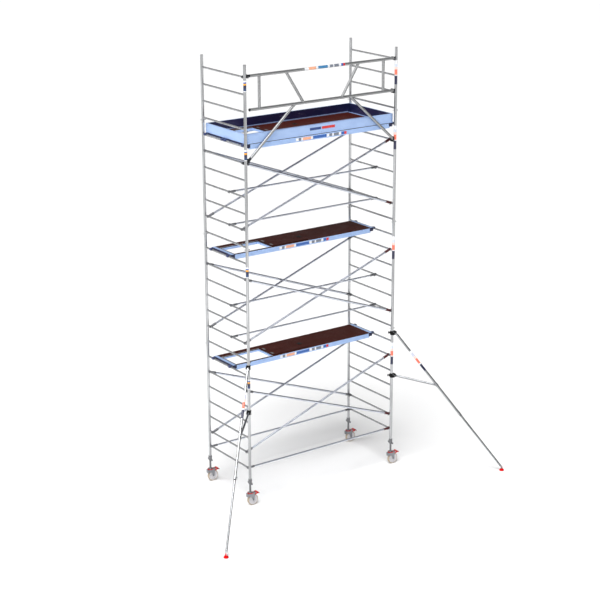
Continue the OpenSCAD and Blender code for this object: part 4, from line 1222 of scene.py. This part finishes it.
def stabiliser_trim(name, side):
    """Knobs, bolts, pins and foot of a stabiliser, each on the body that it belongs to."""
    swing = Vector((side * HALF_BAY, FRONT_Y, 0))
    out = Vector((side, -1, 0)).normalized()
    across = UP.cross(out)
    slide = leg_direction(name)
    body = name + "_stabiliser"
    steel, black = bmesh.new(), bmesh.new()
    for z in CLAMP_HEIGHTS:
        clamp_trim(black, steel, swing + UP * z, out, across)
    leg_top = swing + out * CLAMP_LUG + UP * CLAMP_HEIGHTS[0]
    foot = swing + out * FOOT_REACH + UP * FOOT_PIVOT_Z
    length = (foot - leg_top).length
    end = length * ARM_SHARE
    # spring pin through the sleeve at the main tube's end, with its pull ring
    pin = leg_top + slide * (end - 0.012)
    lathe(steel, mm([(7.5, 23.8), (7.5, 34), (9, 35), (9, 40), (4.5, 42)]), across, pin, 20)
    wire(steel, [pin + across * (0.039 + y) + slide * (0.014 + x)
                 for x, y in arc(0.013, -135, 157.5, 13)], 0.0014)
    for way in (-1, 1):
        bolt_head(steel, leg_top + slide * (length * STAY_SHARE) + across * way * 0.0268,
                  across * way, 0.012, 0.005)
    piece(name + "_stabiliser_bolts", steel, "zinc", body, bevel=0.0004)
    piece(name + "_clamp_knobs", black, "black", body, bevel=0.0008)
    wiper = bmesh.new()
    lathe(wiper, mm([(18.4, 0), (23.2, 0), (23.8, 2), (23.2, 10), (20, 13), (18.4, 13), (18.4, 0)]),
          slide, leg_top + slide * (end + 0.0202), 40)
    piece(name + "_leg_wiper", wiper, "latch", body)
    fork_bolts = bmesh.new()
    for way in (-1, 1):
        bolt_head(fork_bolts, foot + across * way * 0.0175, across * way, 0.019, 0.006)
    lathe(fork_bolts, mm([(18.2, 0), (19.6, 1), (19.6, 12), (18.2, 14), (17.8, 14), (17.8, 0),
                          (18.2, 0)]), -slide, foot - slide * 0.045, 36)
    piece(name + "_leg_fork_bolts", fork_bolts, "zinc", name + "_leg", bevel=0.0004)
    rubber_foot(name, Vector((foot.x, foot.y, 0)), out, across)


# ---------------------------------------------------------------- stickers


def wrapped_foil(name, kind, start, end, radius, facing, body, spread=78, steps=14):
    """Foil wrapped round a tube from start to end, centred on the side that faces one way."""
    start, end = Vector(start), Vector(end)
    along = (end - start).normalized()
    front = (Vector(facing) - along * along.dot(Vector(facing))).normalized()
    side = along.cross(front)
    shape = bmesh.new()
    uv = shape.loops.layers.uv.new("foil")
    rings = []
    for r in (radius + 0.0001, radius + 0.0004):
        for k in range(steps + 1):
            angle = math.radians(spread) * (2 * k / steps - 1)
            out = (front * math.cos(angle) + side * math.sin(angle)) * r
            rings.append([shape.verts.new(start + out), shape.verts.new(end + out)])
    inner, outer = rings[:steps + 1], rings[steps + 1:]
    ring = inner + outer[::-1]
    for k in range(len(ring)):
        first, second = ring[k], ring[(k + 1) % len(ring)]
        shape.faces.new((first[0], first[1], second[1], second[0]))
    for end_of in (0, 1):
        for k in range(steps):
            shape.faces.new((inner[k][end_of], inner[k + 1][end_of], outer[k + 1][end_of],
                             outer[k][end_of]))
    length = (end - start).length
    for face in shape.faces:
        for loop in face.loops:
            offset = loop.vert.co - start
            loop[uv].uv = (offset.dot(along) / length, offset.dot(side) / radius * 0.5 + 0.5)
    piece(name, shape, kind, body)


def flat_foil(name, kind, low, high, body):
    """Foil on an upright face that looks to the front, read along X."""
    shape = bmesh.new()
    uv = shape.loops.layers.uv.new("foil")
    box(shape, low, high)
    for face in shape.faces:
        for loop in face.loops:
            loop[uv].uv = ((loop.vert.co.x - low[0]) / (high[0] - low[0]),
                           (loop.vert.co.z - low[2]) / (high[2] - low[2]))
    piece(name, shape, kind, body)


def stickers():
    """Plain blocks of colour where such a tower carries its maker's foils."""
    towards = (-0.5, -0.86, 0)
    for level, numbers in RUNGS_OF_FRAME.items():
        top = rung_z(numbers[-1])
        for side, kind, start, end in (("left", "short sticker", 0.050, 0.225),
                                       ("right", "long sticker", 0.020, 0.430)):
            x = SIDES[side] * HALF_BAY
            wrapped_foil(f"{side}_upright_sticker_{level}", kind, (x, FRONT_Y, top - start),
                         (x, FRONT_Y, top - end), UPRIGHT_R, towards, "tower")
    for name in SIDES:
        slide = leg_direction(name)
        out = Vector((slide.x, slide.y, 0)).normalized()
        top = Vector(JOINTS[name + "_stabiliser_swing"]["pos_m"]) + out * CLAMP_LUG
        wrapped_foil(name + "_stabiliser_sticker", "stabiliser sticker",
                     top + slide * 0.42, top + slide * 0.87, 0.021, (-0.4, -0.8, 0.5),
                     name + "_stabiliser")
    for name in ("lower", "middle", "upper_front"):
        rung, deck_y, _ = DECKS[name]
        face = BAY_Y + deck_y - DECK_WIDTH / 2
        z = rung_z(rung) + DECK_RISE - BOARD_T - 0.040
        flat_foil(name + "_deck_sticker", "deck sticker", (-0.52, face - 0.0008, z - 0.024),
                  (0.52, face - 0.0002, z + 0.024), "tower")
    face, z = BAY_Y - TOE_FRONT_Y, rung_z(TOP_DECK_RUNG) + DECK_RISE + 0.092
    flat_foil("toe_board_sticker", "toe sticker", (-0.24, face - 0.0008, z - 0.022),
              (0.275, face - 0.0002, z + 0.022), "tower")
    wrapped_foil("guardrail_sticker", "guard sticker", (-0.38, FRONT_Y, GUARD_TOP),
                 (0.44, FRONT_Y, GUARD_TOP), GUARD_R, (0, -0.95, 0.2), "tower",
                 spread=64)


FINISHES.update({
    "short sticker": sticker("short upright sticker", [
        (0.0, WHITE), (0.14, BLUE), (0.26, ORANGE), (0.42, NAVY), (0.70, tint(16, 54, 100)),
        (0.94, WHITE)]),
    "long sticker": sticker("long upright sticker", [
        (0.0, WHITE), (0.16, tint(214, 224, 236)), (0.28, PALE_CORAL), (0.38, CORAL), (0.60, WHITE),
        (0.64, NAVY)]),
    "stabiliser sticker": sticker("stabiliser sticker", [
        (0.0, WHITE), (0.10, tint(206, 210, 228)), (0.26, PALE_CORAL), (0.38, CORAL), (0.62, WHITE),
        (0.67, NAVY)]),
    "deck sticker": sticker("deck sticker", [
        (0.0, WHITE), (0.05, GREY), (0.10, WHITE), (0.13, PALE_ORANGE), (0.29, WHITE),
        (0.33, BLUE), (0.60, WHITE), (0.65, GREY), (0.71, WHITE), (0.74, GREY), (0.84, WHITE),
        (0.89, BLUE), (0.95, RED)]),
    "toe sticker": sticker("toe board sticker", [
        (0.0, tint(20, 60, 130)), (0.44, tint(176, 203, 246)), (0.47, RED)]),
    "guard sticker": sticker("guardrail sticker", [
        (0.0, WHITE), (0.10, PALE_ORANGE), (0.28, WHITE), (0.33, TEAL), (0.57, WHITE),
        (0.62, GREY), (0.70, WHITE), (0.73, GREY), (0.84, WHITE), (0.90, BLUE), (0.95, RED)]),
})

for corner in CORNERS:
    axis = swivel_axis(corner)
    spindle(corner, axis)
    wing_nut(corner, axis)
    fork(corner, axis)
    wheel(corner, axis)
    brake(corner, axis)
frame_trim()
claws()
deck_fasteners()
deck_trim()
for level, deck in (("lower", "lower"), ("middle", "middle"), ("upper", "upper_rear")):
    lid_trim(level, level + "_lid", *DECKS[deck][:2])
guard_trim()
for name, side in SIDES.items():
    stabiliser_trim(name, side)
stickers()

# ---------------------------------------------------------------- studio


def studio():
    """Pale floor, a sky that is bright and dark in bands, daylight and two softboxes."""
    ground = bpy.data.meshes.new("studio_floor")
    reach = 140.0
    ground.from_pydata(
        [(-reach, -reach, 0), (reach, -reach, 0), (reach, reach, 0), (-reach, reach, 0)], [],
        [(0, 1, 2, 3)],
    )
    floor = bpy.data.objects.new("studio_floor", ground)
    floor.location.z = -0.0005
    ground.materials.append(studio_floor("studio floor").material)
    bpy.context.scene.collection.objects.link(floor)

    world = bpy.data.worlds.new("studio")
    world.use_nodes = True
    bpy.context.scene.world = world
    backdrop = Graph(world.node_tree)
    direction = backdrop.node("ShaderNodeTexCoord", output="Generated")
    height = backdrop.node("ShaderNodeSeparateXYZ", None, {0: direction}, "Z")
    sky = backdrop.node(
        "ShaderNodeValToRGB",
        {"stops": [(0.0, (0.8, 0.8, 0.8, 1)), (0.5, (0.62, 0.62, 0.62, 1)),
                   (0.60, (0.42, 0.42, 0.42, 1)), (0.8, (0.62, 0.62, 0.62, 1)),
                   (1.0, (0.44, 0.44, 0.44, 1))]},
        {0: height * 0.5 + 0.5},
    )
    # the dark side of the room, up on the right, which the tubes' edges mirror
    across, along, up = (
        backdrop.node("ShaderNodeSeparateXYZ", None, {0: direction}, name) for name in "XYZ")
    toward = across * 0.64 - along * 0.45 + up * 0.62
    dim = backdrop.span(toward, 0.45, 0.75, 0.0, 0.85)
    sky = backdrop.mix(dim, sky, (0.02, 0.02, 0.02, 1))
    background = world.node_tree.nodes["Background"]
    backdrop.connect(background.inputs["Color"], sky)
    background.inputs["Strength"].default_value = 0.9

    sun = bpy.data.lights.new("soft daylight", "SUN")
    sun.energy = 2.95
    sun.angle = math.radians(34)
    sun_object = bpy.data.objects.new("soft daylight", sun)
    sun_object.rotation_euler = Vector((0.35, 0.30, -1)).to_track_quat("-Z", "Y").to_euler()
    bpy.context.scene.collection.objects.link(sun_object)

    def lamp(name, place, target, size, power):
        light = bpy.data.lights.new(name, "AREA")
        light.shape = "RECTANGLE"
        light.size, light.size_y = size
        light.energy = power
        lamp_object = bpy.data.objects.new(name, light)
        lamp_object.location = place
        aim = Vector(target) - Vector(place)
        lamp_object.rotation_euler = aim.to_track_quat("-Z", "Y").to_euler()
        bpy.context.scene.collection.objects.link(lamp_object)

    middle = (0, BAY_Y, 3.6)
    lamp("key softbox", (-9.0, -12.0, 11.0), middle, (5.0, 7.0), 420)
    lamp("side strip", (-10.0, 4.5, 11.0), middle, (3.0, 9.0), 420)


def camera():
    """Long lens from the front left, a little above."""
    azimuth, elevation, roll = (math.radians(a) for a in (-35.4426, 17.6555, -0.1972))
    distance, target = 28.2893, Vector((-0.0220, BAY_Y, 3.2456))
    back = Vector((
        math.sin(azimuth) * math.cos(elevation), -math.cos(azimuth) * math.cos(elevation),
        math.sin(elevation),
    ))
    lens = bpy.data.cameras.new("camera")
    lens.sensor_width = 36.0
    lens.lens = 97.27
    lens.clip_end = 400.0
    view = bpy.data.objects.new("camera", lens)
    turn = (-back).to_track_quat("-Z", "Y").to_matrix() @ Matrix.Rotation(roll, 3, "Z")
    view.matrix_world = Matrix.Translation(target + back * distance) @ turn.to_4x4()
    bpy.context.scene.collection.objects.link(view)
    bpy.context.scene.camera = view


studio()
camera()
bpy.context.scene.view_settings.view_transform = "Standard"
